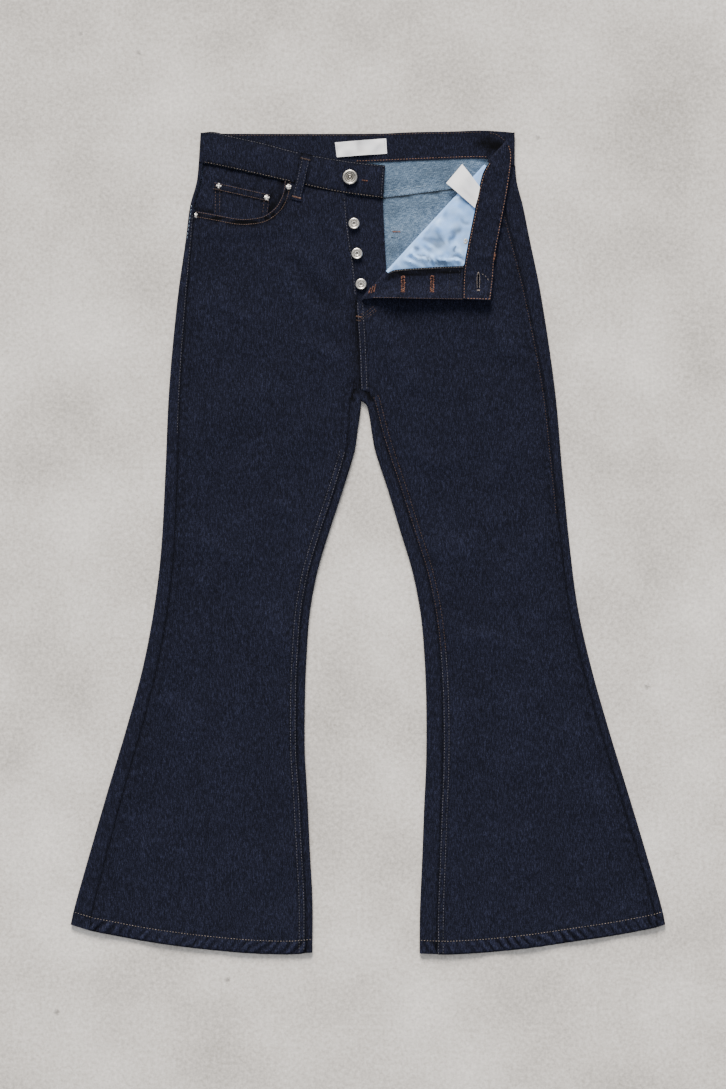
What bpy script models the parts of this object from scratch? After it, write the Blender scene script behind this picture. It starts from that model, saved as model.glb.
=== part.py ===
"""Bootcut jeans, laid flat with the front up and the button fly open.

Lengths are in millimetres until a mesh is made. X runs across the garment, Y from
the hems up to the waist and Z up from the surface that it lies on. Right and left
are the wearer's, so the right leg lies at negative X.
"""
import math
from collections import namedtuple

import bmesh
import bpy
import numpy as np
from mathutils import Vector
from mathutils.geometry import delaunay_2d_cdt

MM = 0.001

# The outlines below are measured from a little below the middle of the garment
MIDDLE_Y = 0.75

# Walls, and the gap kept between sewn pieces
DENIM = 1.2
TWO_PLY = 2.4
STAND_PLY = 2.0
FACING = 1.0
COTTON = 0.8
LABEL = 0.6
GAP = 0.3

# Height of the middle of each layer
BACK_Z = DENIM / 2
FRONT_Z = 4.8
LEG_Z = 2.4
HEM_Z = 3.6
BACK_BAND_Z = 2.7
FRONT_BAND_Z = 5.4
STAND_Z = 2.6
FACING_Z = 3.5
COIN_Z = 4.8
COIN_LIFT = 1.4
PATCH_LIFT = DENIM + GAP

# The flap: how high its layers lie once they are turned back
FLAP_Z = 9.4
FLAP_BAND_Z = 9.9
FLAP_COTTON_Z = FLAP_Z + (DENIM + COTTON) / 2 + GAP
FLAP_FACING_Z = FLAP_Z + (DENIM + FACING) / 2 + GAP
UNDER_COTTON_Z = FRONT_Z - (DENIM + COTTON) / 2 - GAP
UNDER_FACING_Z = FRONT_Z - (DENIM + FACING) / 2 - GAP

# The slanted fold of the flap: its lower end, its direction, and how far inside
# the visible edge the turn's axis lies
FOLD_FOOT = Vector((-15.2, 330.7))
FOLD_ALONG = Vector((0.6775, 0.7355)).normalized()
FOLD_INTO = Vector((FOLD_ALONG.y, -FOLD_ALONG.x))
FOLD_INSET = 4.0
BAND_FOLD_INSET = (FLAP_BAND_Z - FRONT_BAND_Z) / 2 + TWO_PLY / 2

# Spacing of the points in a panel, and along its outline
COARSE = 34.0
MIDDLE = 17.0
FINE = 9.0
SHORT = 3.0
TURN_STEPS = 4
SLIVER = 0.02

CENTRE_BACK = -9.0
BUTTON_WIDE = 20.0
FLY_BUTTON_WIDE = 15.0
RIVET_WIDE = 8.0
LOOP_WIDE = 12.4
BACK_LOOPS = [(-128, "back_right"), (CENTRE_BACK, "back_centre"), (110, "back_left")]

# Each leg's edges, from the waist or the crotch down to the hem: height on the
# garment, where the cloth folds over, and how far inside that fold the seam lies
Edge = namedtuple("Edge", "y fold inset")
RIGHT_SIDE = [Edge(*row) for row in (
    (525, -233, 6), (497, -236, 6), (464, -245, 7), (418, -251, 9), (335, -262.5, 13),
    (211, -274, 16), (100, -279, 17), (-10, -285, 18), (-92, -295, 19), (-175, -311, 20),
    (-258, -333.5, 21), (-340, -358, 22), (-423, -382, 24), (-503, -404.5, 26), (-530, -410.5, 27))]
LEFT_SIDE = [Edge(*row) for row in (
    (525, 202.5, 28), (497, 205, 27), (464, 213.5, 27), (424, 221.5, 25), (343, 238, 21),
    (211, 257.5, 15), (100, 267.5, 12.5), (-10, 278.5, 12), (-92, 289.5, 12), (-175, 308.5, 12),
    (-258, 332, 12), (-340, 357, 12), (-423, 382, 12), (-503, 404.8, 12), (-530, 410.5, 12))]
RIGHT_INNER = [Edge(*row) for row in (
    (196, -9.2, 15), (180, -10.5, 15), (156, -14, 13), (128, -18, 11.5), (73, -34.5, 11),
    (18, -52.5, 11), (-37, -69, 11), (-92, -79.5, 11), (-147, -84, 11), (-203, -86.5, 11),
    (-285, -87, 10.5), (-340, -84, 10), (-423, -80, 9.5), (-492, -76.5, 9.5), (-566, -76.5, 9.5))]
LEFT_INNER = [Edge(*row) for row in (
    (196, -8.8, 16), (190, -2, 11), (176, 1.5, 11), (153, 5, 13.5), (128, 9.5, 16.5),
    (73, 27.5, 17), (18, 44, 18), (-37, 60.5, 19), (-92, 71.5, 20), (-147, 77, 21),
    (-216, 80, 22), (-299, 80, 22.5), (-368, 77, 23), (-437, 74.5, 23), (-506, 71.5, 23.5),
    (-565, 71, 23.5))]

# Seams and edges across the garment, as points (x, y)
CROTCH_Y = 211.0
RIGHT_CROTCH = (-19.3, CROTCH_Y)
LEFT_CROTCH = (1.4, 207.0)
RIGHT_HEM = [(-409.5, -525.5), (-383, -533.3), (-355, -539), (-314, -547), (-266, -554.2), (-217, -560),
             (-162, -564.7), (-107, -566.2), (-76, -563.5)]
LEFT_HEM = [(409.5, -525), (397, -529), (375, -533.5), (347, -539), (292, -547.3), (237, -555.5),
            (182, -562), (141, -565), (106, -566.3), (71, -565)]
CENTRE_FRONT = [(-15.2, 331), (-11.5, 270), (-9, CROTCH_Y)]
BACK_BAND_TOP = [(-230.5, 564.5), (-190, 563.5), (10, 563.5), (60, 565.5), (118, 566.6), (152, 567.8),
                 (172, 567.2), (202, 565)]
BACK_WAIST = [(-233, 524), (-120, 523.5), (-18, 523.5), (100, 528), (164, 529), (202.5, 521)]
RIGHT_YOKE_SEAM = [(CENTRE_BACK, 471), (-120, 487), (-236, 501)]
LEFT_YOKE_SEAM = [(CENTRE_BACK, 471), (21, 475.5), (120, 488.5), (205, 500)]
RIGHT_BAND_TOP = [(-230.5, 564.5), (-213, 565.6), (-197, 562.2), (-146, 551), (-94, 537.4), (-32, 526.4),
                  (23.4, 519.5)]
RIGHT_WAIST = [(-233, 524), (-211, 520), (-156, 508), (-98, 494.7), (-39, 482.3), (20.7, 474)]
LEFT_WAIST = [(166.5, 522.9), (182, 521.5), (202, 519.5)]
POCKET_MOUTH = [(-115, 498), (-116.4, 486), (-120, 474), (-127.6, 461.6), (-143.3, 450.2), (-162.6, 446.5),
                (-179, 446.5), (-209.5, 452), (-237, 457)]
COIN_POCKET = [(-211.5, 497), (-134.4, 480), (-137, 460), (-140.5, 434), (-211, 434), (-212, 466)]
FACING_HIDDEN_EDGE = [(-240, 432), (-200, 417), (-150, 417), (-112, 438), (-100, 468), (-100, 493.5)]
FLY_EDGE = [(-30.3, 480), (-28.2, 449), (-24.8, 419), (-19.3, 383.5), (-15.2, 341), (-15.2, 331)]
STAND_HIDDEN_EDGE = [(-40, 481), (-36, 449), (-31, 410), (-25, 370), (-18, 334)]
STAND_EDGE = [(20.3, 473.5), (23.4, 409.3), (25.6, 373.5)]
FLAP_WAIST = [(166.5, 522.9), (157.5, 505), (149.4, 466.2), (137.5, 407.9), (131.9, 372.9), (130.3, 334.9)]
FLAP_BAND_TOP = [(192.6, 551.3), (196.8, 538), (197, 523.6), (191.5, 483.7), (182.9, 438.2), (176, 402.4),
                 (173.5, 386), (172, 363.8), (168.1, 333)]
FLAP_FLY_EDGE = [(-6.9, 333.9), (2.8, 336.2), (23.4, 336.2), (85.4, 334.9), (130.3, 334.2)]
FLAP_FACING_EDGE = [(27.7, 371.4), (37.2, 374.8), (85.4, 378.3), (131.2, 380.3)]
BACK_POCKET = [(37, 424), (182, 437), (177, 305), (112, 266), (48, 292)]
WAIST_LABEL = [(-45.5, 551.2), (24.8, 556.7), (26.2, 536), (-42.7, 531)]
CARE_LABEL = [(129.5, 520.9), (107.5, 494.7), (146.6, 460.2), (150.8, 474), (153.8, 489)]

# Where the small hard pieces sit
WAIST_BUTTON = (-24.8, 503)
FLY_BUTTONS = [(-19.3, 439.6), (-15.2, 398.2), (-9.6, 356.2)]
RIVETS = {
    "rivet_coin_outer": (-205.3, 491.4, COIN_Z + FACING / 2),
    "rivet_coin_inner": (-139.2, 475.2, COIN_Z + FACING / 2),
    "rivet_mouth_inner": (-109.5, 490.0, FRONT_Z + DENIM / 2),
    "rivet_mouth_outer": (-236.8, 451.0, FRONT_Z + DENIM / 2),
}
RIVET_BACK = (133.2, 414.5, FLAP_COTTON_Z + COTTON / 2)

# Buttonholes: the middle of each slit in the flap's facing, and the waistband's
FLAP_SLITS = [(48.2, 356.5), (88.2, 356.5)]
SLIT_LONG = 17.0
SLIT_WIDE = 2.0
BAND_SLIT = (151.6, 360.0)
BAND_SLIT_LONG = 22.0

Finish = namedtuple("Finish", "colour roughness metallic")
DENIM_BLUE = Finish((0.014, 0.017, 0.03), 0.9, 0.0)
POCKETING = Finish((0.52, 0.68, 0.86), 0.85, 0.0)
WHITE_TAPE = Finish((0.83, 0.86, 0.9), 0.7, 0.0)
NICKEL = Finish((0.75, 0.74, 0.71), 0.28, 1.0)

Leg = namedtuple("Leg", "name side_sign side inner crotch hem yoke_seam")
RIGHT = Leg("right", -1, RIGHT_SIDE, RIGHT_INNER, RIGHT_CROTCH, RIGHT_HEM, RIGHT_YOKE_SEAM)
LEFT = Leg("left", 1, LEFT_SIDE, LEFT_INNER, LEFT_CROTCH, LEFT_HEM, LEFT_YOKE_SEAM)


def clear_scene():
    """Start from an empty scene."""
    for old in list(bpy.data.objects):
        bpy.data.objects.remove(old, do_unlink=True)


def smooth(points, step):
    """Points about a step apart on a smooth curve through the given ones."""
    points = [Vector(point) for point in points]
    spans = [(b - a).length for a, b in zip(points, points[1:])]
    slopes = [(points[1] - points[0]) / spans[0]]
    for before, after, first, second in zip(points, points[2:], spans, spans[1:]):
        slopes.append((after - before) / (first + second))
    slopes.append((points[-1] - points[-2]) / spans[-1])
    curve = [points[0]]
    for i, span in enumerate(spans):
        pieces = max(1, round(span / step))
        for k in range(1, pieces + 1):
            t = k / pieces
            start_share = (1 + 2 * t) * (1 - t) ** 2
            end_share = t * t * (3 - 2 * t)
            start_pull = t * (1 - t) ** 2 * span
            end_pull = t * t * (t - 1) * span
            curve.append(points[i] * start_share + points[i + 1] * end_share
                         + slopes[i] * start_pull + slopes[i + 1] * end_pull)
    return curve


def beside(curve, distance):
    """The curve moved sideways, to its left as it runs where the distance is positive."""
    moved = []
    last = len(curve) - 1
    for i, point in enumerate(curve):
        along = (curve[min(i + 1, last)] - curve[max(i - 1, 0)]).normalized()
        moved.append(point + distance * Vector((-along.y, along.x)))
    return moved


def trimmed(curve, low_y=-math.inf, high_y=math.inf):
    """The stretch of a curve between two heights on the garment, cut exactly there, from the top down."""
    kept = [point for point in curve if low_y + SHORT < point.y < high_y - SHORT]
    for a, b in zip(curve, curve[1:]):
        for cut_y in (low_y, high_y):
            if min(a.y, b.y) < cut_y <= max(a.y, b.y):
                kept.append(a.lerp(b, (cut_y - a.y) / (b.y - a.y)))
    return sorted(kept, key=lambda point: -point.y)


def height_at(curve, x):
    """Y of a curve that runs across the garment, at the given x."""
    ordered = sorted(curve, key=lambda point: point[0])
    return float(np.interp(x, [p[0] for p in ordered], [p[1] for p in ordered]))


def stretch(curve, start_x, end_x, drop=GAP):
    """A crosswise curve between two x, in that order, moved down the garment by the drop."""
    low, high = sorted((start_x, end_x))
    between = [point.x for point in curve if low + SHORT < point.x < high - SHORT]
    points = [Vector((x, height_at(curve, x) - drop)) for x in (low, *sorted(between), high)]
    return points if start_x < end_x else points[::-1]


def seam_at(leg, outer, y):
    """X of a leg's side seam, or of its inseam, at a height on the garment."""
    rows = sorted(leg.side if outer else leg.inner)
    inward = -leg.side_sign if outer else leg.side_sign
    return float(np.interp(y, [row.y for row in rows], [row.fold + inward * row.inset for row in rows]))


def ease(share):
    """Smooth step from 0 to 1."""
    share = min(max(share, 0.0), 1.0)
    return share * share * (3 - 2 * share)


def inside(point, loop):
    """Whether a point lies inside a closed loop."""
    within = False
    for a, b in zip(loop, loop[1:] + loop[:1]):
        if (a[1] > point[1]) != (b[1] > point[1]):
            if point[0] < a[0] + (point[1] - a[1]) * (b[0] - a[0]) / (b[1] - a[1]):
                within = not within
    return within


def clearance(point, loop):
    """Distance from a point to a closed loop."""
    nearest = math.inf
    for a, b in zip(loop, loop[1:] + loop[:1]):
        run = (b[0] - a[0], b[1] - a[1])
        reach = (point[0] - a[0], point[1] - a[1])
        share = (reach[0] * run[0] + reach[1] * run[1]) / max(run[0] ** 2 + run[1] ** 2, 1e-9)
        share = min(max(share, 0.0), 1.0)
        nearest = min(nearest, math.hypot(reach[0] - share * run[0], reach[1] - share * run[1]))
    return nearest


def filling(loops, spacing):
    """Points of a triangular grid inside the first loop, clear of every loop."""
    outline = loops[0]
    low_x = min(p[0] for p in outline)
    high_x = max(p[0] for p in outline)
    low_y = min(p[1] for p in outline)
    high_y = max(p[1] for p in outline)
    points = []
    row = 0
    y = low_y
    while y < high_y:
        x = low_x + (row % 2) * spacing / 2
        while x < high_x:
            if inside((x, y), outline) and all(clearance((x, y), loop) > 0.45 * spacing for loop in loops):
                points.append(Vector((x, y)))
            x += spacing
        y += spacing * math.sqrt(3) / 2
        row += 1
    return points


def grown(loop, margin):
    """A convex loop with each corner moved out from its middle."""
    middle = sum((Vector(p) for p in loop), Vector((0, 0))) / len(loop)
    return [Vector(p) + (Vector(p) - middle).normalized() * margin for p in loop]


class Cloth:
    """The middle surface of a sewn piece, made of flat patches and turned edges."""

    def __init__(self):
        self.mesh = bmesh.new()

    def patch(self, outline, height, spacing, holes=(), rings=()):
        """Fill an outline, seen from above, at the height that a function of x and y gives."""
        outline = [Vector(point) for point in outline]
        loops = [outline, *holes, *rings]
        points = []
        edges = []
        for loop in loops:
            first = len(points)
            points.extend(Vector(point) for point in loop)
            edges.extend((first + i, first + (i + 1) % len(loop)) for i in range(len(loop)))
        points.extend(filling(loops, spacing))
        flat, _, faces, _, _, _ = delaunay_2d_cdt(points, edges, [], 0, 1e-5)
        corners = [self.mesh.verts.new((p.x, p.y, height(p.x, p.y))) for p in flat]
        for face in faces:
            a, b, c = (flat[i] for i in face)
            middle = (a + b + c) / 3
            if abs((b - a).cross(c - a)) < SLIVER:
                continue
            if inside(middle, outline) and not any(inside(middle, hole) for hole in holes):
                self.mesh.faces.new([corners[i] for i in face])

    def turn(self, axis, side, low, high):
        """A half-round turn of the cloth about a line, from the low layer up to the high one."""
        radius = (high - low) / 2
        rows = []
        for step in range(TURN_STEPS + 1):
            angle = math.pi * (step / TURN_STEPS - 0.5)
            line = beside(axis, side * radius * math.cos(angle))
            z = (high + low) / 2 + radius * math.sin(angle)
            rows.append([self.mesh.verts.new((p.x, p.y, z)) for p in line])
        for lower, upper in zip(rows, rows[1:]):
            for i in range(len(axis) - 1):
                self.mesh.faces.new((lower[i], lower[i + 1], upper[i + 1], upper[i]))

    def finish(self, name, wall, finish):
        """Join the patches and give the surface its wall."""
        loose = [vertex for vertex in self.mesh.verts if not vertex.link_faces]
        bmesh.ops.delete(self.mesh, geom=loose, context="VERTS")
        bmesh.ops.remove_doubles(self.mesh, verts=self.mesh.verts, dist=0.01)
        bmesh.ops.recalc_face_normals(self.mesh, faces=self.mesh.faces)
        bmesh.ops.translate(self.mesh, vec=(0, -MIDDLE_Y, 0), verts=self.mesh.verts)
        bmesh.ops.scale(self.mesh, vec=(MM, MM, MM), verts=self.mesh.verts)
        piece = new_piece(name, self.mesh, finish)
        shell = piece.modifiers.new("Wall", "SOLIDIFY")
        shell.thickness = wall * MM
        shell.offset = 0.0
        return piece


def new_piece(name, bm, finish):
    """An object of the garment's collection, with a material of its own."""
    mesh = bpy.data.meshes.new(name)
    bm.to_mesh(mesh)
    bm.free()
    piece = bpy.data.objects.new(name, mesh)
    bpy.data.collections["bootcut_jeans"].objects.link(piece)
    material = bpy.data.materials.new(name)
    material.use_nodes = True
    shader = material.node_tree.nodes["Principled BSDF"]
    shader.inputs["Base Color"].default_value = (*finish.colour, 1.0)
    shader.inputs["Roughness"].default_value = finish.roughness
    shader.inputs["Metallic"].default_value = finish.metallic
    mesh.materials.append(material)
    mesh.shade_smooth()
    mesh.set_sharp_from_angle(angle=math.radians(35))
    return piece


def level(z):
    """A height function for a flat piece."""
    return lambda x, y: z


def side_seam(leg):
    """The side seam, which lies on the front, from the waist down."""
    return smooth([(row.fold - leg.side_sign * row.inset, row.y) for row in leg.side], COARSE)


def inseam(leg):
    """The inseam, which lies on the front, from the crotch down."""
    seam = [(row.fold + leg.side_sign * row.inset, row.y) for row in leg.inner]
    return smooth([leg.crotch] + seam, COARSE)


def turn_axis(leg, outer):
    """The line about which a leg's edge turns, from the top down to the hem."""
    inset = (FRONT_Z - BACK_Z) / 2 + DENIM / 2
    edges = leg.side if outer else leg.inner
    away = leg.side_sign if outer else -leg.side_sign
    axis = beside(smooth([(row.fold, row.y) for row in edges], COARSE), -away * inset)
    hem_y = height_at(leg.hem, axis[-1].x)
    return trimmed(axis, low_y=hem_y) if axis[-1].y < hem_y else axis[:-1] + [Vector((axis[-1].x, hem_y))]


def hem_between(leg, start, end):
    """Points of the hem strictly between two points that lie on it."""
    curve = smooth(leg.hem, COARSE)
    low, high = sorted((start.x, end.x))
    between = [p for p in curve if low + COARSE / 3 < p.x < high - COARSE / 3]
    return sorted(between, key=lambda p: p.x, reverse=start.x > end.x)


def ends_on_hem(leg, seam):
    """A seam cut where it meets the hem."""
    hem_y = height_at(leg.hem, seam[-1].x)
    kept = [p for p in seam if p.y > hem_y + COARSE / 4]
    return kept + [Vector((seam[-1].x, hem_y))]


def back_pocket_outline(leg):
    """The back pocket's outline, mirrored about the centre back for the right one."""
    if leg is LEFT:
        return [Vector(point) for point in BACK_POCKET]
    return [Vector((2 * CENTRE_BACK - x, y)) for x, y in BACK_POCKET]


def back_height(leg):
    """Height of a back panel: raised over its pocket, flat elsewhere."""
    pocket = back_pocket_outline(leg)

    def height(x, y):
        if inside((x, y), pocket):
            return BACK_Z + PATCH_LIFT
        return BACK_Z + PATCH_LIFT * (1 - ease((clearance((x, y), pocket) - 2) / 9))
    return height


def yoke_height(x, y):
    """Height of a yoke: raised beside the waistband, where the belt loops lie under it."""
    near_centre = 1 - ease((abs(x - CENTRE_BACK) - 140) / 40)
    return BACK_Z + PATCH_LIFT * near_centre * (1 - ease((501 - y) / 11))


def waistband_axis(leg):
    """The line about which the waistband turns at one side of the garment."""
    inset = (FRONT_BAND_Z - BACK_BAND_Z) / 2 + TWO_PLY / 2
    top = RIGHT_BAND_TOP[0] if leg is RIGHT else BACK_BAND_TOP[-1]
    foot = RIGHT_WAIST[0] if leg is RIGHT else LEFT_WAIST[-1]
    return [Vector((edge[0] - leg.side_sign * inset, edge[1])) for edge in (top, foot)]


def back_waist():
    """The waistband's lower edge at the back, from the right side to the left."""
    right = waistband_axis(RIGHT)[1]
    left = waistband_axis(LEFT)[1]
    between = [p for p in smooth(BACK_WAIST, MIDDLE) if right.x + FINE < p.x < left.x - FINE]
    return [right] + between + [left]


def front_waist(leg):
    """The waistband's lower edge at the front, from the side towards the fly."""
    if leg is RIGHT:
        return [waistband_axis(RIGHT)[1]] + smooth(RIGHT_WAIST, MIDDLE)[1:]
    return [waistband_axis(LEFT)[1]] + [Vector(point) for point in LEFT_WAIST[-2::-1]]


def front_height(leg):
    """Height of a front panel: high at the hip and the seams, low along the leg."""
    def height(x, y):
        to_side = abs(x - seam_at(leg, True, y))
        to_inner = abs(x - seam_at(leg, False, y)) if y < CROTCH_Y else math.inf
        away_from_seam = ease(min(to_side, to_inner) / 45)
        below_hip = 1 - ease((y - 60) / 120)
        above_hem = 1 - (HEM_Z - LEG_Z) / (FRONT_Z - LEG_Z) * ease((-470 - y) / 60)
        return FRONT_Z - (FRONT_Z - LEG_Z) * away_from_seam * below_hip * above_hem
    return height


def right_front_height(x, y):
    """The right front also rises over the hidden part of the coin pocket."""
    beside_coin = max(-221 - x, x + 127, 426 - y, 0.0)
    return front_height(RIGHT)(x, y) + COIN_LIFT * (1 - ease(beside_coin / 12))


def back_panel(leg):
    """A back panel: underneath, round both edges of the leg, and on to the front."""
    side_axis = trimmed(turn_axis(leg, outer=True), high_y=leg.yoke_seam[-1][1] - GAP)
    inner_axis = turn_axis(leg, outer=False)
    centre_x = CENTRE_BACK + leg.side_sign * GAP / 2
    top_edge = stretch(smooth(leg.yoke_seam, MIDDLE), side_axis[0].x, centre_x)
    centre_back = [Vector((centre_x, y)) for y in np.linspace(top_edge[-1].y, inner_axis[0].y, 9)]
    pocket = back_pocket_outline(leg)

    cloth = Cloth()
    bottom = (centre_back + inner_axis + hem_between(leg, inner_axis[-1], side_axis[-1])
              + side_axis[::-1] + top_edge[1:-1])
    cloth.patch(bottom, back_height(leg), COARSE, rings=[grown(pocket, 2), grown(pocket, 12)])
    cloth.turn(side_axis, leg.side_sign, BACK_Z, FRONT_Z)
    cloth.turn(inner_axis, -leg.side_sign, BACK_Z, FRONT_Z)

    side_edge = trimmed(ends_on_hem(leg, side_seam(leg)), high_y=side_axis[0].y)
    cloth.patch(side_axis + side_edge[::-1], level(FRONT_Z), COARSE)
    inner_edge = ends_on_hem(leg, inseam(leg))
    crotch_top = Vector((centre_x, CROTCH_Y - GAP))
    cloth.patch(inner_axis + inner_edge[::-1] + [crotch_top], level(FRONT_Z), COARSE)
    return cloth.finish(f"back_{leg.name}_panel", DENIM, DENIM_BLUE)


def back_yoke(leg):
    """A yoke: between the back panel and the waistband, and round the side."""
    side_axis = beside(smooth([(row.fold, row.y) for row in leg.side[:3]], FINE),
                       -leg.side_sign * ((FRONT_Z - BACK_Z) / 2 + DENIM / 2))
    waist_y = height_at(back_waist(), side_axis[0].x) - GAP
    side_axis = trimmed(side_axis, low_y=leg.yoke_seam[-1][1], high_y=waist_y)
    centre_x = CENTRE_BACK + leg.side_sign * GAP / 2
    waist = stretch(back_waist(), centre_x, side_axis[0].x)
    seam = stretch(smooth(leg.yoke_seam, MIDDLE), side_axis[-1].x, centre_x, drop=0)
    centre_back = [Vector((centre_x, y)) for y in (489, 501, 512)]
    own_loops = [x for x, _ in BACK_LOOPS if (x - centre_x) * leg.side_sign > FINE]
    loop_feet = [upright_box((x, 506.5), 11, LOOP_WIDE + 5) for x in own_loops]
    loop_feet.append(upright_box((centre_x + leg.side_sign * 6.5, 506.5), 11, 5))

    cloth = Cloth()
    cloth.patch(waist + side_axis[1:] + seam[1:] + centre_back, yoke_height, MIDDLE, rings=loop_feet)
    cloth.turn(side_axis, leg.side_sign, BACK_Z, FRONT_Z)
    side_edge = side_seam(leg)
    side_top = height_at(front_waist(leg), side_edge[0].x) - GAP
    side_edge = trimmed(side_edge, low_y=side_axis[-1].y, high_y=side_top)
    top = stretch(front_waist(leg), side_edge[0].x, side_axis[0].x)
    cloth.patch(side_axis + side_edge[::-1] + top[1:-1], level(FRONT_Z), MIDDLE)
    return cloth.finish(f"back_{leg.name}_yoke", DENIM, DENIM_BLUE)


def back_pocket(leg):
    """A patch pocket on the outside of the back, which is underneath."""
    cloth = Cloth()
    cloth.patch(back_pocket_outline(leg), level(BACK_Z), COARSE)
    return cloth.finish(f"back_{leg.name}_pocket", DENIM, DENIM_BLUE)


def front_leg_edges(leg):
    """The side seam, hem and inseam that bound a front panel, round from the side."""
    side = [Vector((p.x - leg.side_sign * GAP, p.y)) for p in ends_on_hem(leg, side_seam(leg))]
    inner = [Vector((p.x + leg.side_sign * GAP, p.y)) for p in ends_on_hem(leg, inseam(leg))]
    inner[0].y += GAP
    return side, hem_between(leg, side[-1], inner[-1]), inner[::-1]


def front_right_panel():
    """The right front, with the cut-away mouth of its pocket."""
    side, hem, inner = front_leg_edges(RIGHT)
    mouth = smooth(POCKET_MOUTH, FINE)
    side = trimmed(side, high_y=mouth[-1].y - FINE)
    waist = stretch(front_waist(RIGHT), FLY_EDGE[0][0], mouth[0].x)
    fly = smooth(FLY_EDGE, MIDDLE)
    centre = [Vector((p.x - GAP / 2, p.y)) for p in smooth(CENTRE_FRONT, COARSE)]
    centre[-1].y += GAP
    outline = side + hem + inner + centre[::-1] + fly[-2:0:-1] + waist + mouth[1:]

    cloth = Cloth()
    coin_ring = [(-221, 448), (-127, 455), (-127, 426), (-221, 426)]
    coin_foot = [(-233, 448), (-118, 462), (-115, 414), (-233, 414)]
    cloth.patch(outline, right_front_height, COARSE, rings=[coin_ring, coin_foot])
    return cloth.finish("front_right_panel", DENIM, DENIM_BLUE)


def fold_axis(start, end, inset, step):
    """A stretch of the line about which the flap turns, from its lower end up."""
    pieces = max(1, round((end - start) / step))
    return [FOLD_FOOT + FOLD_ALONG * (start + (end - start) * k / pieces) + FOLD_INTO * inset
            for k in range(pieces + 1)]


def front_left_panel():
    """The left front, its fly corner turned back over it along a slanted fold."""
    side, hem, inner = front_leg_edges(LEFT)
    axis = fold_axis(8, 260, FOLD_INSET, MIDDLE)
    side = trimmed(side, high_y=height_at(LEFT_WAIST, side[0].x) - GAP)
    centre = [Vector((p.x + GAP / 2, p.y)) for p in smooth(CENTRE_FRONT, COARSE)]
    centre[-1].y += GAP
    cloth = Cloth()
    cloth.patch(side + hem + inner + centre[::-1] + axis, front_height(LEFT), COARSE)
    cloth.turn(axis, 1, FRONT_Z, FLAP_Z)
    waist = [Vector((p.x - GAP, p.y)) for p in smooth(FLAP_WAIST, COARSE)]
    fly = smooth(FLAP_FLY_EDGE, COARSE)
    fly[0] = axis[0]
    fly[-1].x -= GAP
    flap = axis + waist[1:-1] + fly[:0:-1]
    cloth.patch(flap, level(FLAP_Z), COARSE)
    return cloth.finish("front_left_panel", DENIM, DENIM_BLUE)


def upright_box(middle, long, wide):
    """An upright rectangle, such as the slit of a buttonhole or the place of a belt loop's foot."""
    x, y = middle
    half_long = long / 2
    half_wide = wide / 2
    return [Vector((x - half_wide, y - half_long)), Vector((x + half_wide, y - half_long)),
            Vector((x + half_wide, y + half_long)), Vector((x - half_wide, y + half_long))]


def waistband():
    """One strip: right end, round the back, round the left side and back over the flap."""
    right_axis = waistband_axis(RIGHT)
    left_axis = waistband_axis(LEFT)
    diagonal = fold_axis(264.5, 303, BAND_FOLD_INSET, MIDDLE)

    cloth = Cloth()
    back = smooth(BACK_BAND_TOP, COARSE)[1:-1] + left_axis + back_waist()[-2:0:-1] + right_axis[::-1]
    cloth.patch(back, level(BACK_BAND_Z), COARSE)
    cloth.turn(right_axis, -1, BACK_BAND_Z, FRONT_BAND_Z)
    cloth.turn(left_axis, 1, BACK_BAND_Z, FRONT_BAND_Z)
    right_front = right_axis[::-1] + smooth(RIGHT_BAND_TOP, COARSE)[1:] + front_waist(RIGHT)[:0:-1]
    cloth.patch(right_front, level(FRONT_BAND_Z), COARSE)
    left_front = diagonal + left_axis + [Vector(LEFT_WAIST[1])]
    cloth.patch(left_front, level(FRONT_BAND_Z), COARSE)
    cloth.turn(diagonal, 1, FRONT_BAND_Z, FLAP_BAND_Z)
    turned_back = diagonal + smooth(FLAP_BAND_TOP, COARSE)[1:] + smooth(FLAP_WAIST, COARSE)[:0:-1]
    buttonhole = upright_box(BAND_SLIT, BAND_SLIT_LONG, SLIT_WIDE)
    cloth.patch(turned_back, level(FLAP_BAND_Z), COARSE, holes=[buttonhole])
    return cloth.finish("waistband", TWO_PLY, DENIM_BLUE)


def right_pocket_facing():
    """The denim behind the right pocket's mouth."""
    seam = smooth([(row.fold + row.inset, row.y) for row in RIGHT_SIDE[:4]], MIDDLE)
    side = [Vector((p.x + 2 * GAP, p.y)) for p in seam]
    top_y = height_at(front_waist(RIGHT), side[0].x) - GAP
    side = trimmed(side, low_y=FACING_HIDDEN_EDGE[0][1] + FINE, high_y=top_y)
    hidden = smooth(FACING_HIDDEN_EDGE, MIDDLE)
    waist = stretch(front_waist(RIGHT), hidden[-1].x, side[0].x)
    cloth = Cloth()
    cloth.patch(side + hidden[:-1] + waist[:-1], level(FACING_Z), COARSE)
    return cloth.finish("right_pocket_facing", FACING, DENIM_BLUE)


def coin_pocket():
    """The small pocket on the facing."""
    cloth = Cloth()
    cloth.patch([Vector(point) for point in COIN_POCKET], level(COIN_Z), COARSE)
    return cloth.finish("coin_pocket", FACING, DENIM_BLUE)


def fly_shield():
    """The button stand of the right front, which runs on under the left one."""
    hidden = smooth(STAND_HIDDEN_EDGE, MIDDLE)
    edge = smooth(STAND_EDGE, MIDDLE)
    waist = stretch(front_waist(RIGHT), hidden[0].x, edge[0].x)
    cloth = Cloth()
    cloth.patch(hidden[:0:-1] + waist + edge[1:], level(STAND_Z), COARSE)
    return cloth.finish("fly_shield", STAND_PLY, DENIM_BLUE)


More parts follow.
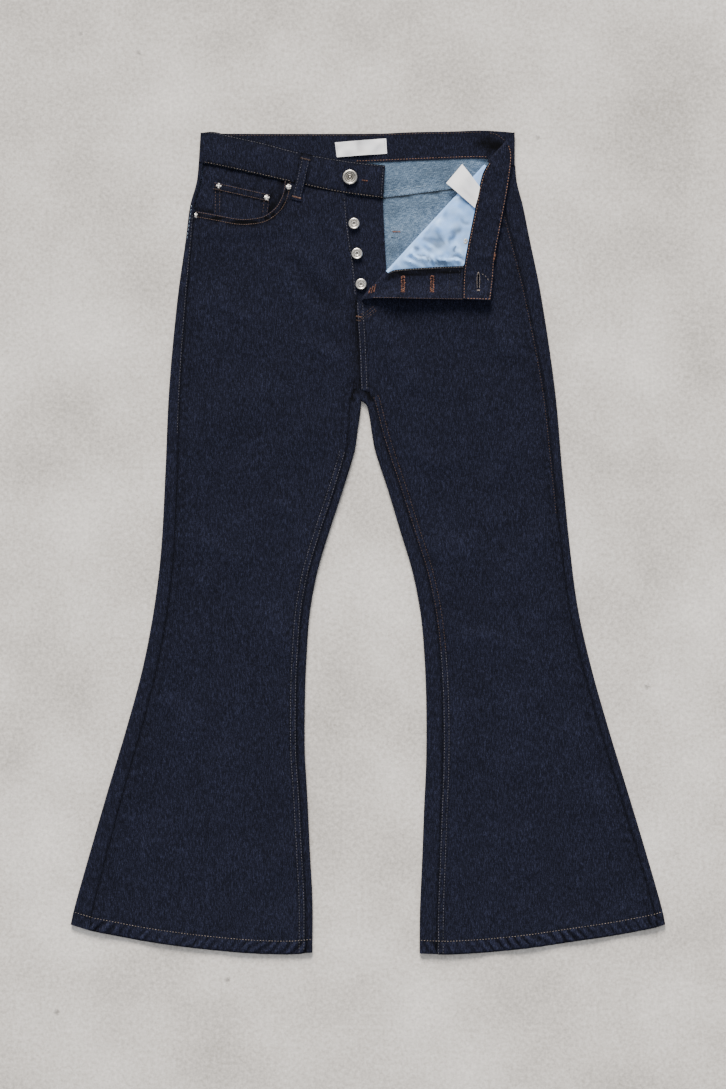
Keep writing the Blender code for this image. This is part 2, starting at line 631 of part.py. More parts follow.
def fly_facing():
    """The buttonhole facing along the flap's fly edge."""
    axis = fold_axis(10, 58, FOLD_INSET, MIDDLE)
    inner = smooth(FLAP_FACING_EDGE, COARSE)
    fly = [Vector((p.x, p.y + DENIM)) for p in smooth(FLAP_FLY_EDGE, COARSE)]
    fly[-1].x -= 4 * GAP
    cloth = Cloth()
    holes = [upright_box(middle, SLIT_LONG, SLIT_WIDE) for middle in FLAP_SLITS]
    cloth.patch(axis + inner[1:] + fly[:0:-1], level(FLAP_FACING_Z), COARSE, holes=holes)
    cloth.turn(axis, 1, UNDER_FACING_Z, FLAP_FACING_Z)
    under = [p + FOLD_INTO * 12 for p in axis]
    cloth.patch(axis + under[::-1], level(UNDER_FACING_Z), COARSE)
    return cloth.finish("fly_facing", FACING, DENIM_BLUE)


def left_pocket_bag():
    """Pocket cotton on the inside of the flap, which runs round the fold."""
    axis = fold_axis(59, 258, FOLD_INSET, MIDDLE)
    waist = [Vector((p.x - 3 * GAP, p.y)) for p in smooth(FLAP_WAIST, COARSE)]
    lower = [Vector((p.x, p.y + 2 * GAP)) for p in smooth(FLAP_FACING_EDGE, COARSE)]
    waist = [p for p in waist if lower[-1].y + FINE < p.y < axis[-1].y - FINE / 2]
    cloth = Cloth()
    cloth.patch(axis + waist + lower[:0:-1], level(FLAP_COTTON_Z), COARSE)
    cloth.turn(axis, 1, UNDER_COTTON_Z, FLAP_COTTON_Z)
    under = [p + FOLD_INTO * 22 for p in axis]
    cloth.patch(axis + under[::-1], level(UNDER_COTTON_Z), COARSE)
    return cloth.finish("left_pocket_bag", COTTON, POCKETING)


def strap(name, top, foot, z_at):
    """A belt loop: a straight strap whose height follows a function of y."""
    top = Vector(top)
    foot = Vector(foot)
    sideways = (foot - top).normalized().orthogonal() * LOOP_WIDE / 2
    steps = max(1, round((foot - top).length / FINE))
    left = [top.lerp(foot, k / steps) + sideways for k in range(steps + 1)]
    right = [top.lerp(foot, k / steps) - sideways for k in range(steps + 1)]
    cloth = Cloth()
    cloth.patch(left + right[::-1], z_at, COARSE)
    return cloth.finish(name, DENIM, DENIM_BLUE)


def belt_loops():
    """Two loops in front, one of them under the flap, and three behind."""
    over_band = FRONT_BAND_Z + (TWO_PLY + DENIM) / 2 + GAP
    over_panel = FRONT_Z + DENIM + GAP

    def stepped(x, y):
        return over_panel + (over_band - over_panel) * ease((y - height_at(RIGHT_WAIST, x) + 12) / 10)
    strap("belt_loop_front_right", (-85.4, 531), (-99, 471.5), stepped)
    under_flap = FLAP_BAND_Z - (TWO_PLY + DENIM) / 2 - GAP
    strap("belt_loop_front_left", (179, 430), (117, 439.5), level(under_flap))
    for x, name in BACK_LOOPS:
        strap(f"belt_loop_{name}", (x, 560), (x, 505), level(BACK_Z))


def label(name, corners, height):
    """A plain woven tab."""
    cloth = Cloth()
    outline = []
    for a, b in zip(corners, corners[1:] + corners[:1]):
        pieces = max(1, round((Vector(b) - Vector(a)).length / MIDDLE))
        outline.extend(Vector(a).lerp(Vector(b), k / pieces) for k in range(pieces))
    cloth.patch(outline, height, MIDDLE)
    return cloth.finish(name, LABEL, WHITE_TAPE)


def labels():
    """The bare tab inside the waistband, and the one on the flap, which droops past the fold."""
    resting = BACK_BAND_Z + (TWO_PLY + LABEL) / 2 + GAP
    label("waist_label", WAIST_LABEL, lambda x, y: resting + 1.4 * math.sin(math.pi * (x + 45.5) / 71) ** 2)
    on_flap = FLAP_COTTON_Z + (COTTON + LABEL) / 2 + GAP

    def droop(x, y):
        past_fold = (Vector((x, y)) - FOLD_FOOT).dot(-FOLD_INTO)
        return on_flap - 2.5 * ease((past_fold - 2) / 24)
    label("care_label", CARE_LABEL, droop)


def turned(name, profile, place, steps, finish):
    """A round piece from its profile: (radius, height) from the top of its axis down to the foot."""
    bm = bmesh.new()
    corners = [bm.verts.new((radius * MM, 0, height * MM)) for radius, height in profile]
    for a, b in zip(corners, corners[1:]):
        bm.edges.new((a, b))
    piece = new_piece(name, bm, finish)
    piece.location = (Vector(place) - Vector((0, MIDDLE_Y, 0))) * MM
    screw = piece.modifiers.new("Turned", "SCREW")
    screw.steps = steps
    screw.render_steps = steps
    screw.use_merge_vertices = True
    screw.merge_threshold = 0.00001
    screw.use_smooth_shade = True
    return piece


def button(name, place, wide):
    """A tack button: a foot on the cloth, a neck, and a dished head with a rolled rim."""
    rim = wide / 2
    profile = [(0, 4.2), (0.22 * rim, 4.2), (0.3 * rim, 3.8), (0.66 * rim, 3.8), (0.84 * rim, 4.5), (rim, 4.0),
               (rim, 3.1), (0.8 * rim, 2.6), (0.36 * rim, 2.4), (0.36 * rim, 0.7), (0.55 * rim, 0), (0, 0)]
    turned(name, profile, place, 20, NICKEL)


def hardware():
    """Buttons and rivets."""
    button("waist_button", (*WAIST_BUTTON, FRONT_BAND_Z + TWO_PLY / 2 + GAP), BUTTON_WIDE)
    for number, place in enumerate(FLY_BUTTONS, start=1):
        button(f"fly_button_{number}", (*place, STAND_Z + STAND_PLY / 2 + GAP), FLY_BUTTON_WIDE)
    rim = RIVET_WIDE / 2
    cap = [(0, 1.9), (0.3 * rim, 1.9), (0.42 * rim, 1.4), (0.8 * rim, 1.3), (rim, 0.6), (rim, 0), (0, 0)]
    for name, (x, y, z) in RIVETS.items():
        turned(name, cap, (x, y, z + GAP), 16, NICKEL)
    burr = [(0, 0.8), (0.9 * rim, 0.8), (1.1 * rim, 0.3), (1.1 * rim, 0), (0, 0)]
    x, y, z = RIVET_BACK
    turned("rivet_flap_back", burr, (x, y, z + GAP), 16, NICKEL)


def main():
    clear_scene()
    collection = bpy.data.collections.new("bootcut_jeans")
    bpy.context.scene.collection.children.link(collection)
    for leg in (RIGHT, LEFT):
        back_panel(leg)
        back_yoke(leg)
        back_pocket(leg)
    front_right_panel()
    front_left_panel()
    waistband()
    right_pocket_facing()
    coin_pocket()
    fly_shield()
    fly_facing()
    left_pocket_bag()
    belt_loops()
    labels()
    hardware()


main()
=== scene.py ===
"""Looks of the bootcut jeans that lie flat with the button fly open.

Lengths are in millimetres until a mesh is made, on the same lines as the part's
source. X runs across the garment, Y from the hems up to the waist, Z up through
its layers. Right and left are the wearer's.
"""
import math
from collections import namedtuple

import bpy
import numpy as np
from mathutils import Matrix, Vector
from mathutils.geometry import delaunay_2d_cdt


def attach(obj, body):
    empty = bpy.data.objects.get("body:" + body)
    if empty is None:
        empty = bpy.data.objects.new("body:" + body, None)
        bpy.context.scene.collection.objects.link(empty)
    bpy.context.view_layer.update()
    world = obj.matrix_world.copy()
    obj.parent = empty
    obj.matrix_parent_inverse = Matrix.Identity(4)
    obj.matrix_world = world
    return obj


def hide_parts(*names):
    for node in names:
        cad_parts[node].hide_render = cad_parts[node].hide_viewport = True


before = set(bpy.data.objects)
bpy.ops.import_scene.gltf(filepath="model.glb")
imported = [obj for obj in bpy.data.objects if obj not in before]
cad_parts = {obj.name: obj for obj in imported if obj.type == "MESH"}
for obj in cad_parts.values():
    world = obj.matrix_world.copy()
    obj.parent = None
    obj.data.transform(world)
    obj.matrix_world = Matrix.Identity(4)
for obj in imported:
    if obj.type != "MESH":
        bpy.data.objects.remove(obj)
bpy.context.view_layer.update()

MM = 0.001
TAU = math.tau
# Y of the frame's origin on the drawing
MIDDLE_Y = 0.75

# Walls of the cloth, and the gap kept between sewn pieces
DENIM = 1.2
TWO_PLY = 2.4
STAND_PLY = 2.0
FACING = 1.0
COTTON = 0.8
LABEL = 0.6
GAP = 0.3

# Height of the middle of each layer
BACK_Z = DENIM / 2
FRONT_Z = 4.8
LEG_Z = 2.4
HEM_Z = 3.6
BACK_BAND_Z = 2.7
FRONT_BAND_Z = 5.4
STAND_Z = 2.6
FACING_Z = 3.5
COIN_Z = 4.8
COIN_LIFT = 1.4
PATCH_LIFT = DENIM + GAP
FLAP_Z = 9.4
FLAP_BAND_Z = 9.9
FLAP_COTTON_Z = FLAP_Z + (DENIM + COTTON) / 2 + GAP
FLAP_FACING_Z = FLAP_Z + (DENIM + FACING) / 2 + GAP
UNDER_COTTON_Z = FRONT_Z - (DENIM + COTTON) / 2 - GAP
UNDER_FACING_Z = FRONT_Z - (DENIM + FACING) / 2 - GAP

# The slanted fold of the flap
FOLD_FOOT = np.array((-15.2, 330.7))
FOLD_ALONG = np.array((0.6775, 0.7355)) / math.hypot(0.6775, 0.7355)
FOLD_INTO = np.array((FOLD_ALONG[1], -FOLD_ALONG[0]))
FOLD_INSET = 4.0
BAND_FOLD_INSET = (FLAP_BAND_Z - FRONT_BAND_Z) / 2 + TWO_PLY / 2

# Spacing of the cloth's points: plain stretches, sewn stretches and hidden ones
PLAIN = 6.0
SEWN = 3.0
HIDDEN = 12.0
OUTLINE = 4.0
TURN_STEPS = 8

CENTRE_BACK = -9.0
CROTCH_Y = 211.0
LOOP_WIDE = 12.4

# A place on a leg's edge, and how far in from it the seam lies there
Edge = namedtuple("Edge", "y fold inset")
RIGHT_SIDE = [Edge(*row) for row in (
    (525, -233, 6), (497, -236, 6), (464, -245, 7), (418, -251, 9), (335, -262.5, 13),
    (211, -274, 16), (100, -279, 17), (-10, -285, 18), (-92, -295, 19), (-175, -311, 20),
    (-258, -333.5, 21), (-340, -358, 22), (-423, -382, 24), (-503, -404.5, 26), (-530, -410.5, 27))]
LEFT_SIDE = [Edge(*row) for row in (
    (525, 202.5, 28), (497, 205, 27), (464, 213.5, 27), (424, 221.5, 25), (343, 238, 21),
    (211, 257.5, 15), (100, 267.5, 12.5), (-10, 278.5, 12), (-92, 289.5, 12), (-175, 308.5, 12),
    (-258, 332, 12), (-340, 357, 12), (-423, 382, 12), (-503, 404.8, 12), (-530, 410.5, 12))]
RIGHT_INNER = [Edge(*row) for row in (
    (196, -9.2, 15), (180, -10.5, 15), (156, -14, 13), (128, -18, 11.5), (73, -34.5, 11),
    (18, -52.5, 11), (-37, -69, 11), (-92, -79.5, 11), (-147, -84, 11), (-203, -86.5, 11),
    (-285, -87, 10.5), (-340, -84, 10), (-423, -80, 9.5), (-492, -76.5, 9.5), (-566, -76.5, 9.5))]
LEFT_INNER = [Edge(*row) for row in (
    (196, -9.9, 17.1), (190, -2, 11), (176, 1.5, 11), (153, 5, 13.5), (128, 9.5, 16.5),
    (73, 27.5, 17), (18, 44, 18), (-37, 60.5, 19), (-92, 71.5, 20), (-147, 77, 21),
    (-216, 80, 22), (-299, 80, 22.5), (-368, 77, 23), (-437, 74.5, 23), (-506, 71.5, 23.5),
    (-565, 71, 23.5))]

RIGHT_HEM = [(-409.5, -525.5), (-383, -533.3), (-355, -539), (-314, -547), (-266, -554.2), (-217, -560),
             (-162, -564.7), (-107, -566.2), (-76, -563.5)]
LEFT_HEM = [(409.5, -525), (397, -529), (375, -533.5), (347, -539), (292, -547.3), (237, -555.5),
            (182, -562), (141, -565), (106, -566.3), (71, -565)]
CENTRE_FRONT = [(-15.2, 331), (-11.5, 270), (-9, CROTCH_Y)]
BACK_BAND_TOP = [(-230.5, 564.5), (-190, 563.5), (10, 563.5), (60, 565.5), (118, 566.6), (152, 567.8),
                 (172, 567.2), (202, 565)]
BACK_WAIST = [(-233, 524), (-120, 523.5), (-18, 523.5), (100, 528), (164, 529), (202.5, 521)]
RIGHT_YOKE_SEAM = [(CENTRE_BACK, 471), (-120, 487), (-236, 501)]
LEFT_YOKE_SEAM = [(CENTRE_BACK, 471), (21, 475.5), (120, 488.5), (205, 500)]
RIGHT_BAND_TOP = [(-230.5, 564.5), (-213, 565.6), (-197, 562.2), (-146, 551), (-94, 537.4), (-32, 526.4),
                  (23.4, 519.5)]
RIGHT_WAIST = [(-233, 524), (-211, 520), (-156, 508), (-98, 494.7), (-39, 482.3), (20.7, 474)]
LEFT_WAIST = [(166.5, 522.9), (182, 521.5), (202, 519.5)]
POCKET_MOUTH = [(-115, 498), (-116.4, 486), (-120, 474), (-127.6, 461.6), (-143.3, 450.2), (-162.6, 446.5),
                (-179, 446.5), (-209.5, 452), (-237, 457)]
COIN_POCKET = [(-211.5, 497), (-134.4, 480), (-137, 460), (-140.5, 434), (-211, 434), (-212, 466)]
FACING_HIDDEN_EDGE = [(-240, 432), (-200, 417), (-150, 417), (-112, 438), (-100, 468), (-100, 493.5)]
FLY_EDGE = [(-30.3, 480), (-28.2, 449), (-24.8, 419), (-19.3, 383.5), (-15.2, 341), (-15.2, 331)]
STAND_HIDDEN_EDGE = [(-40, 481), (-36, 449), (-31, 410), (-25, 370), (-18, 334)]
STAND_EDGE = [(20.3, 473.5), (23.4, 409.3), (25.6, 373.5)]
FLAP_WAIST = [(166.5, 522.9), (157.5, 505), (149.4, 466.2), (137.5, 407.9), (131.9, 372.9), (130.3, 334.9)]
FLAP_BAND_TOP = [(192.6, 551.3), (196.8, 538), (197, 523.6), (191.5, 483.7), (182.9, 438.2), (176, 402.4),
                 (173.5, 386), (172, 363.8), (168.1, 333)]
FLAP_FLY_EDGE = [(-6.9, 333.9), (2.8, 336.2), (23.4, 336.2), (85.4, 334.9), (130.3, 334.2)]
FLAP_FACING_EDGE = [(27.7, 371.4), (37.2, 374.8), (85.4, 378.3), (131.2, 380.3)]
BACK_POCKET = [(37, 424), (182, 437), (177, 305), (112, 266), (48, 292)]
WAIST_LABEL = [(-45.5, 551.2), (24.8, 556.7), (26.2, 536), (-42.7, 531)]
CARE_LABEL = [(129.5, 520.9), (107.5, 494.7), (146.6, 460.2), (150.8, 474), (153.8, 489)]

WAIST_BUTTON = (-24.8, 503)
FLY_BUTTONS = [(-19.3, 439.6), (-15.2, 398.2), (-9.6, 356.2)]
RIVETS = {
    "rivet_coin_outer": (-205.3, 491.4, COIN_Z + FACING / 2),
    "rivet_coin_inner": (-139.2, 475.2, COIN_Z + FACING / 2),
    "rivet_mouth_inner": (-109.5, 490.0, FRONT_Z + DENIM / 2),
    "rivet_mouth_outer": (-236.8, 451.0, FRONT_Z + DENIM / 2),
}
RIVET_BACK = (133.2, 414.5, FLAP_COTTON_Z + COTTON / 2)
FLAP_SLITS = [(48.2, 356.5), (88.2, 356.5)]
SLIT_LONG = 17.0
SLIT_WIDE = 2.0
BAND_SLIT = (151.6, 360.0)
BAND_SLIT_LONG = 22.0
FRONT_LOOP = ((-85.4, 531), (-99, 471.5))
HIDDEN_LOOP = ((179, 430), (117, 439.5))
BACK_LOOPS = [(-128, "back_right"), (CENTRE_BACK, "back_centre"), (110, "back_left")]

# Where a front panel sinks from its hip and its seams, and rises again to its hem
SEAM_SLOPE = 45
THIGH_Y = 60
THIGH_SLOPE = 120
ABOVE_HEM_Y = -470
HEM_SLOPE = 60

HEM_DEEP = 19.0
HEM_STITCH = HEM_DEEP - 0.8
STITCH = 4.0

Leg = namedtuple("Leg", "name side_sign side inner crotch hem yoke_seam")
RIGHT = Leg("right", -1, RIGHT_SIDE, RIGHT_INNER, (-19.3, CROTCH_Y), RIGHT_HEM, RIGHT_YOKE_SEAM)
LEFT = Leg("left", 1, LEFT_SIDE, LEFT_INNER, (1.4, 207.0), LEFT_HEM, LEFT_YOKE_SEAM)


# Lines on the cloth

def smooth(points):
    """Closely spaced points on a smooth curve through the given ones."""
    points = np.asarray(points, float)
    spans = np.linalg.norm(np.diff(points, axis=0), axis=1)
    inner = (points[2:] - points[:-2]) / (spans[:-1] + spans[1:])[:, None]
    slopes = np.vstack(((points[1] - points[0]) / spans[0], inner, (points[-1] - points[-2]) / spans[-1]))
    curve = [points[:1]]
    for i, span in enumerate(spans):
        pieces = max(1, round(span / OUTLINE))
        t = (np.arange(1, pieces + 1) / pieces)[:, None]
        curve.append(points[i] * (1 + 2 * t) * (1 - t) ** 2 + points[i + 1] * t * t * (3 - 2 * t)
                     + slopes[i] * t * (1 - t) ** 2 * span + slopes[i + 1] * t * t * (t - 1) * span)
    return np.vstack(curve)


def straight(a, b, step=OUTLINE):
    """Points about a step apart on a straight line."""
    pieces = max(1, round(math.dist(a, b) / step))
    t = (np.arange(pieces + 1) / pieces)[:, None]
    return np.asarray(a, float) * (1 - t) + np.asarray(b, float) * t


def path(*points, step=OUTLINE):
    """Straight lines from point to point, with points about a step apart."""
    runs = [straight(a, b, step)[:-1] for a, b in zip(points, points[1:])]
    return np.vstack(runs + [np.asarray(points[-1:], float)])


def beside(curve, distance):
    """The curve moved sideways, to its left as it runs where the distance is positive."""
    curve = np.asarray(curve, float)
    last = len(curve) - 1
    along = curve[np.minimum(np.arange(last + 1) + 1, last)] - curve[np.maximum(np.arange(last + 1) - 1, 0)]
    along /= np.linalg.norm(along, axis=1)[:, None]
    return curve + distance * np.column_stack((-along[:, 1], along[:, 0]))


def trimmed(curve, low_y=-math.inf, high_y=math.inf):
    """The stretch of a curve between two heights on the garment, from the top down."""
    kept = [p for p in curve if low_y + 1 < p[1] < high_y - 1]
    for a, b in zip(curve, curve[1:]):
        for cut in (low_y, high_y):
            if min(a[1], b[1]) < cut <= max(a[1], b[1]):
                kept.append(a + (b - a) * (cut - a[1]) / (b[1] - a[1]))
    return np.array(sorted(kept, key=lambda p: -p[1]))


def height_at(curve, x):
    """Y of a curve that runs across the garment, at the given x."""
    ordered = np.asarray(sorted(curve, key=lambda p: p[0]), float)
    return np.interp(x, ordered[:, 0], ordered[:, 1])


def stretch(curve, start_x, end_x, drop=GAP):
    """A crosswise curve between two x, in that order, moved down the garment by the drop."""
    low, high = sorted((start_x, end_x))
    between = sorted(p[0] for p in curve if low + 1 < p[0] < high - 1)
    xs = np.array((low, *between, high))
    points = np.column_stack((xs, height_at(curve, xs) - drop))
    return points if start_x < end_x else points[::-1]


def seam_at(leg, outer, y):
    """X of a leg's side seam, or of its inseam, at a height on the garment."""
    rows = sorted(leg.side if outer else leg.inner)
    inward = -leg.side_sign if outer else leg.side_sign
    return np.interp(y, [row.y for row in rows], [row.fold + inward * row.inset for row in rows])


def ease(share):
    """Smooth step from 0 to 1."""
    share = np.clip(share, 0.0, 1.0)
    return share * share * (3 - 2 * share)


def inside(points, loop):
    """Whether each point lies inside a closed loop."""
    x, y = points[:, 0], points[:, 1]
    within = np.zeros(len(points), bool)
    for a, b in zip(loop, np.roll(loop, -1, axis=0)):
        if a[1] == b[1]:
            continue
        crosses = (a[1] > y) != (b[1] > y)
        within ^= crosses & (x < a[0] + (y - a[1]) * (b[0] - a[0]) / (b[1] - a[1]))
    return within


def measure(x, y, curve, reach=math.inf):
    """Signed distance from a curve, positive on its left, and how far along it each point lies."""
    curve = np.asarray(curve, float)
    x = np.asarray(x, float)
    distance = np.full(x.shape, 1e6)
    side = np.ones(x.shape)
    travelled = np.zeros(x.shape)
    low = curve.min(axis=0) - reach
    high = curve.max(axis=0) + reach
    near = np.flatnonzero((x > low[0]) & (x < high[0]) & (y > low[1]) & (y < high[1]))
    if not len(near):
        return distance, travelled
    px, py = x[near], y[near]
    best = np.full(len(near), 1e12)
    sign = np.ones(len(near))
    reached = np.zeros(len(near))
    start = 0.0
    for a, b in zip(curve, curve[1:]):
        run = b - a
        length = math.hypot(*run)
        if length < 1e-9:
            continue
        share = np.clip(((px - a[0]) * run[0] + (py - a[1]) * run[1]) / length ** 2, 0, 1)
        off_x = px - a[0] - share * run[0]
        off_y = py - a[1] - share * run[1]
        apart = off_x ** 2 + off_y ** 2
        closer = apart < best
        best[closer] = apart[closer]
        sign[closer] = np.where(run[0] * off_y - run[1] * off_x >= 0, 1.0, -1.0)[closer]
        reached[closer] = (start + share * length)[closer]
        start += length
    distance[near] = np.sqrt(best)
    side[near] = sign
    travelled[near] = reached
    return distance * side, travelled


def side_seam(leg):
    """The side seam, from the waist down."""
    return smooth([(row.fold - leg.side_sign * row.inset, row.y) for row in leg.side])


def inseam(leg):
    """The inseam, from the crotch down."""
    return smooth([leg.crotch] + [(row.fold + leg.side_sign * row.inset, row.y) for row in leg.inner])


def turn_axis(leg, outer):
    """The line about which a leg's edge turns, from the top down to the hem."""
    inset = (FRONT_Z - BACK_Z) / 2 + DENIM / 2
    edges = leg.side if outer else leg.inner
    away = leg.side_sign if outer else -leg.side_sign
    axis = beside(smooth([(row.fold, row.y) for row in edges]), -away * inset)
    hem_y = height_at(leg.hem, axis[-1][0])
    if axis[-1][1] < hem_y:
        return trimmed(axis, low_y=hem_y)
    return np.vstack((axis[:-1], (axis[-1][0], hem_y)))


def into_leg(leg):
    """The side of the hem's line that the leg is on: 1 for its left and -1 for its right."""
    return -leg.side_sign


def hem_between(leg, start, end):
    """Points of the hem strictly between two points that lie on it."""
    curve = smooth(leg.hem)
    low, high = sorted((start[0], end[0]))
    between = [p for p in curve if low + 1.5 < p[0] < high - 1.5]
    return np.array(sorted(between, key=lambda p: p[0], reverse=bool(start[0] > end[0])))


def ends_on_hem(leg, seam):
    """A seam cut where it meets the hem."""
    hem_y = height_at(leg.hem, seam[-1][0])
    return np.vstack(([p for p in seam if p[1] > hem_y + 1], [(seam[-1][0], hem_y)]))


def waistband_axis(leg):
    """The line about which the waistband turns at one side of the garment."""
    inset = (FRONT_BAND_Z - BACK_BAND_Z) / 2 + TWO_PLY / 2
    top = RIGHT_BAND_TOP[0] if leg is RIGHT else BACK_BAND_TOP[-1]
    foot = RIGHT_WAIST[0] if leg is RIGHT else LEFT_WAIST[-1]
    return straight((top[0] - leg.side_sign * inset, top[1]), (foot[0] - leg.side_sign * inset, foot[1]))


def back_waist():
    """The waistband's lower edge at the back, from the right side to the left."""
    right = waistband_axis(RIGHT)[-1]
    left = waistband_axis(LEFT)[-1]
    middle = [p for p in smooth(BACK_WAIST) if right[0] + 3 < p[0] < left[0] - 3]
    return np.vstack((right, middle, left))


def front_waist(leg):
    """The waistband's lower edge at the front, from the side towards the fly."""
    if leg is RIGHT:
        return np.vstack((waistband_axis(RIGHT)[-1], smooth(RIGHT_WAIST)[1:]))
    return np.vstack((waistband_axis(LEFT)[-1], smooth(LEFT_WAIST)[-2::-1]))


def back_pocket_outline(leg):
    """The corners of a back pocket, the right one mirrored from the left one."""
    if leg is LEFT:
        return np.array(BACK_POCKET, float)
    return np.array([(2 * CENTRE_BACK - x, y) for x, y in BACK_POCKET], float)


def fold_axis(start, end, inset):
    """A stretch of the line about which the flap turns, from its lower end up."""
    a = FOLD_FOOT + FOLD_ALONG * start + FOLD_INTO * inset
    b = FOLD_FOOT + FOLD_ALONG * end + FOLD_INTO * inset
    return straight(a, b)


def from_fold(x, y):
    """Distance from the flap's fold, positive on the side where the flap lies."""
    return (x - FOLD_FOOT[0]) * FOLD_INTO[0] + (y - FOLD_FOOT[1]) * FOLD_INTO[1]


def slit(middle, long, wide):
    """The outline of a buttonhole that runs up and down the garment."""
    x, y = middle
    return path((x - wide / 2, y - long / 2), (x + wide / 2, y - long / 2), (x + wide / 2, y + long / 2),
                (x - wide / 2, y + long / 2), (x - wide / 2, y - long / 2), step=SEWN)[:-1]


# Relief that sewing, folding and lying about leave in the cloth

def uneven(scale, seed):
    """A smooth field of values about -1 to 1, with bumps about a scale apart."""
    waves = 12
    rng = np.random.default_rng(seed)
    angles = rng.uniform(0, TAU, waves)
    lengths = scale * rng.uniform(0.75, 1.6, waves)
    phases = rng.uniform(0, TAU, waves)

    def field(x, y):
        total = np.zeros(np.shape(x))
        for angle, length, phase in zip(angles, lengths, phases):
            total += np.sin((x * math.cos(angle) + y * math.sin(angle)) * TAU / length + phase)
        return total / math.sqrt(waves)
    return field


class Relief:
    """Small rises and dips of a piece, none below its lowest height, and a tone painted on them: mostly
    painted light and shade, in places wear.
    """

    def __init__(self, base, seed, lowest=-math.inf):
        self.base = base
        self.parts = []
        self.seed = seed
        self.lowest = lowest

    def rumple(self, scale, depth):
        """Soft unevenness all over."""
        self.seed += 1
        field = uneven(scale, self.seed)
        self.parts.append(lambda x, y: (depth * field(x, y), 0.0))
        return self

    def crease(self, a, b, width, rise, tone=0.0):
        """A soft ridge, or a trough where the rise is negative, fading out at both ends."""
        a = np.asarray(a, float)
        run = np.asarray(b, float) - a
        length = math.hypot(*run)
        self.seed += 1
        wander = uneven(length / 1.7, self.seed)

        def part(x, y):
            along = ((x - a[0]) * run[0] + (y - a[1]) * run[1]) / length ** 2
            off = ((x - a[0]) * run[1] - (y - a[1]) * run[0]) / length + 0.5 * width * wander(x, y)
            ends = ease(along / 0.35) * ease((1 - along) / 0.35)
            shape = ends * np.exp(-(off / width) ** 2)
            return rise * shape, tone * shape
        self.parts.append(part)
        return self

    def creases(self, rows, rise=1.0, tone=0.0):
        """Several creases, as (from, to, width, rise), with a tone in step with each one's rise: painted
        light on ridges, painted shade in troughs.
        """
        for a, b, width, own in rows:
            self.crease(a, b, width, own * rise, tone=own * tone)
        return self

    def pucker(self, curve, near, far, wave, depth, slant=0.0, tone=1.0):
        """Ripples across a sewn stretch, between two distances to the left of a line, their tone painting the
        crests lighter and the troughs darker.
        """
        self.seed += 1
        jitter = uneven(wave * 4.5, self.seed)
        swell = uneven(wave * 6, self.seed + 50)
        middle = (near + far) / 2
        half = abs(far - near) / 2

        def part(x, y):
            off, along = measure(x, y, curve, abs(middle) + half + 12)
            within = 1 - ease((np.abs(off - middle) - half + 1.5) / 3)
            ripple = np.sin((along + slant * off) * TAU / wave + 2.2 * jitter(x, y))
            ripple *= 0.65 + 0.35 * swell(x, y)
            return depth * within * ripple, tone * within * ripple
        self.parts.append(part)
        return self

    def ply(self, curve, near, far, rise, soft=1.5, tone=0.0):
        """Another ply of cloth between two distances to the left of a line."""
        middle = (near + far) / 2
        half = abs(far - near) / 2

        def part(x, y):
            off, _ = measure(x, y, curve, abs(middle) + half + 12)
            within = 1 - ease((np.abs(off - middle) - half + soft / 2) / soft)
            return rise * within, tone * within
        self.parts.append(part)
        return self

    def groove(self, curve, offset, width, depth, tone=-0.6):
        """A narrow dip along a line of sewing, with painted shade in it where its tone is negative."""
        def part(x, y):
            off, _ = measure(x, y, curve, abs(offset) + width * 3)
            dip = np.exp(-((off - offset) / width) ** 2)
            return -depth * dip, tone * dip
        self.parts.append(part)
        return self

    def __call__(self, x, y):
        total = self.base(x, y) + np.zeros(np.shape(x))
        for part in self.parts:
            total = total + part(x, y)[0]
        return np.maximum(total, self.lowest)

    def tone(self, x, y):
        """How much lighter or darker than the plain cloth it is, about 1 to -1: mostly painted light and
        shade, in places wear.
        """
        total = np.zeros(np.shape(x))
        for part in self.parts:
            total = total + part(x, y)[1]
        return total


def level(z):
    """The height function of a flat layer."""
    return lambda x, y: np.full(np.shape(x), float(z))


def curled(z):
    """A layer of the flap, whose fly edge stands up off the leg."""
    rise = 5.5

    def height(x, y):
        return z + rise * ease((360 - y) / 26) * ease((from_fold(x, y) - FOLD_INSET) / 30)
    return height


# Making cloth

def new_piece(name, points, faces, *materials):
    """Make a smooth piece from points in millimetres on the drawing."""
    mesh = bpy.data.meshes.new(name)
    mesh.from_pydata(((points - (0, MIDDLE_Y, 0)) * MM).tolist(), [], faces)
    for material in materials:
        mesh.materials.append(material)
    mesh.shade_smooth()
    piece = bpy.data.objects.new(name, mesh)
    bpy.context.scene.collection.objects.link(piece)
    return piece


def lattice(outline, spacing, loops, fine):
    """Triangular grid points inside an outline, closer together near the fine lines."""
    step = spacing / 2 if fine else spacing
    low = outline.min(axis=0)
    high = outline.max(axis=0)
    rows = np.arange(low[1], high[1], step * math.sqrt(3) / 2)
    columns = np.arange(low[0], high[0], step)
    row, column = np.meshgrid(np.arange(len(rows)), np.arange(len(columns)), indexing="ij")
    points = np.column_stack(((columns[column] + (row % 2) * step / 2).ravel(), rows[row].ravel()))
    on_coarse = ((row % 2 == 0) & ((column - row // 2) % 2 == 0)).ravel()
    if fine:
        sewn = np.zeros(len(points), bool)
        for curve, near, far in fine:
            off, _ = measure(points[:, 0], points[:, 1], curve, max(abs(near), abs(far)) + 4)
            sewn |= (off > near) & (off < far)
        keep = on_coarse | sewn
        points = points[keep]
        clear = np.where(sewn[keep], step, spacing) * 0.45
    else:
        clear = np.full(len(points), spacing * 0.45)
    within = inside(points, outline)
    points = points[within]
    clear = clear[within]
    for loop in loops:
        off, _ = measure(points[:, 0], points[:, 1], np.vstack((loop, loop[:1])), spacing)
        kept = np.abs(off) > np.minimum(clear, 1.6)
        points = points[kept]
        clear = clear[kept]
    return points


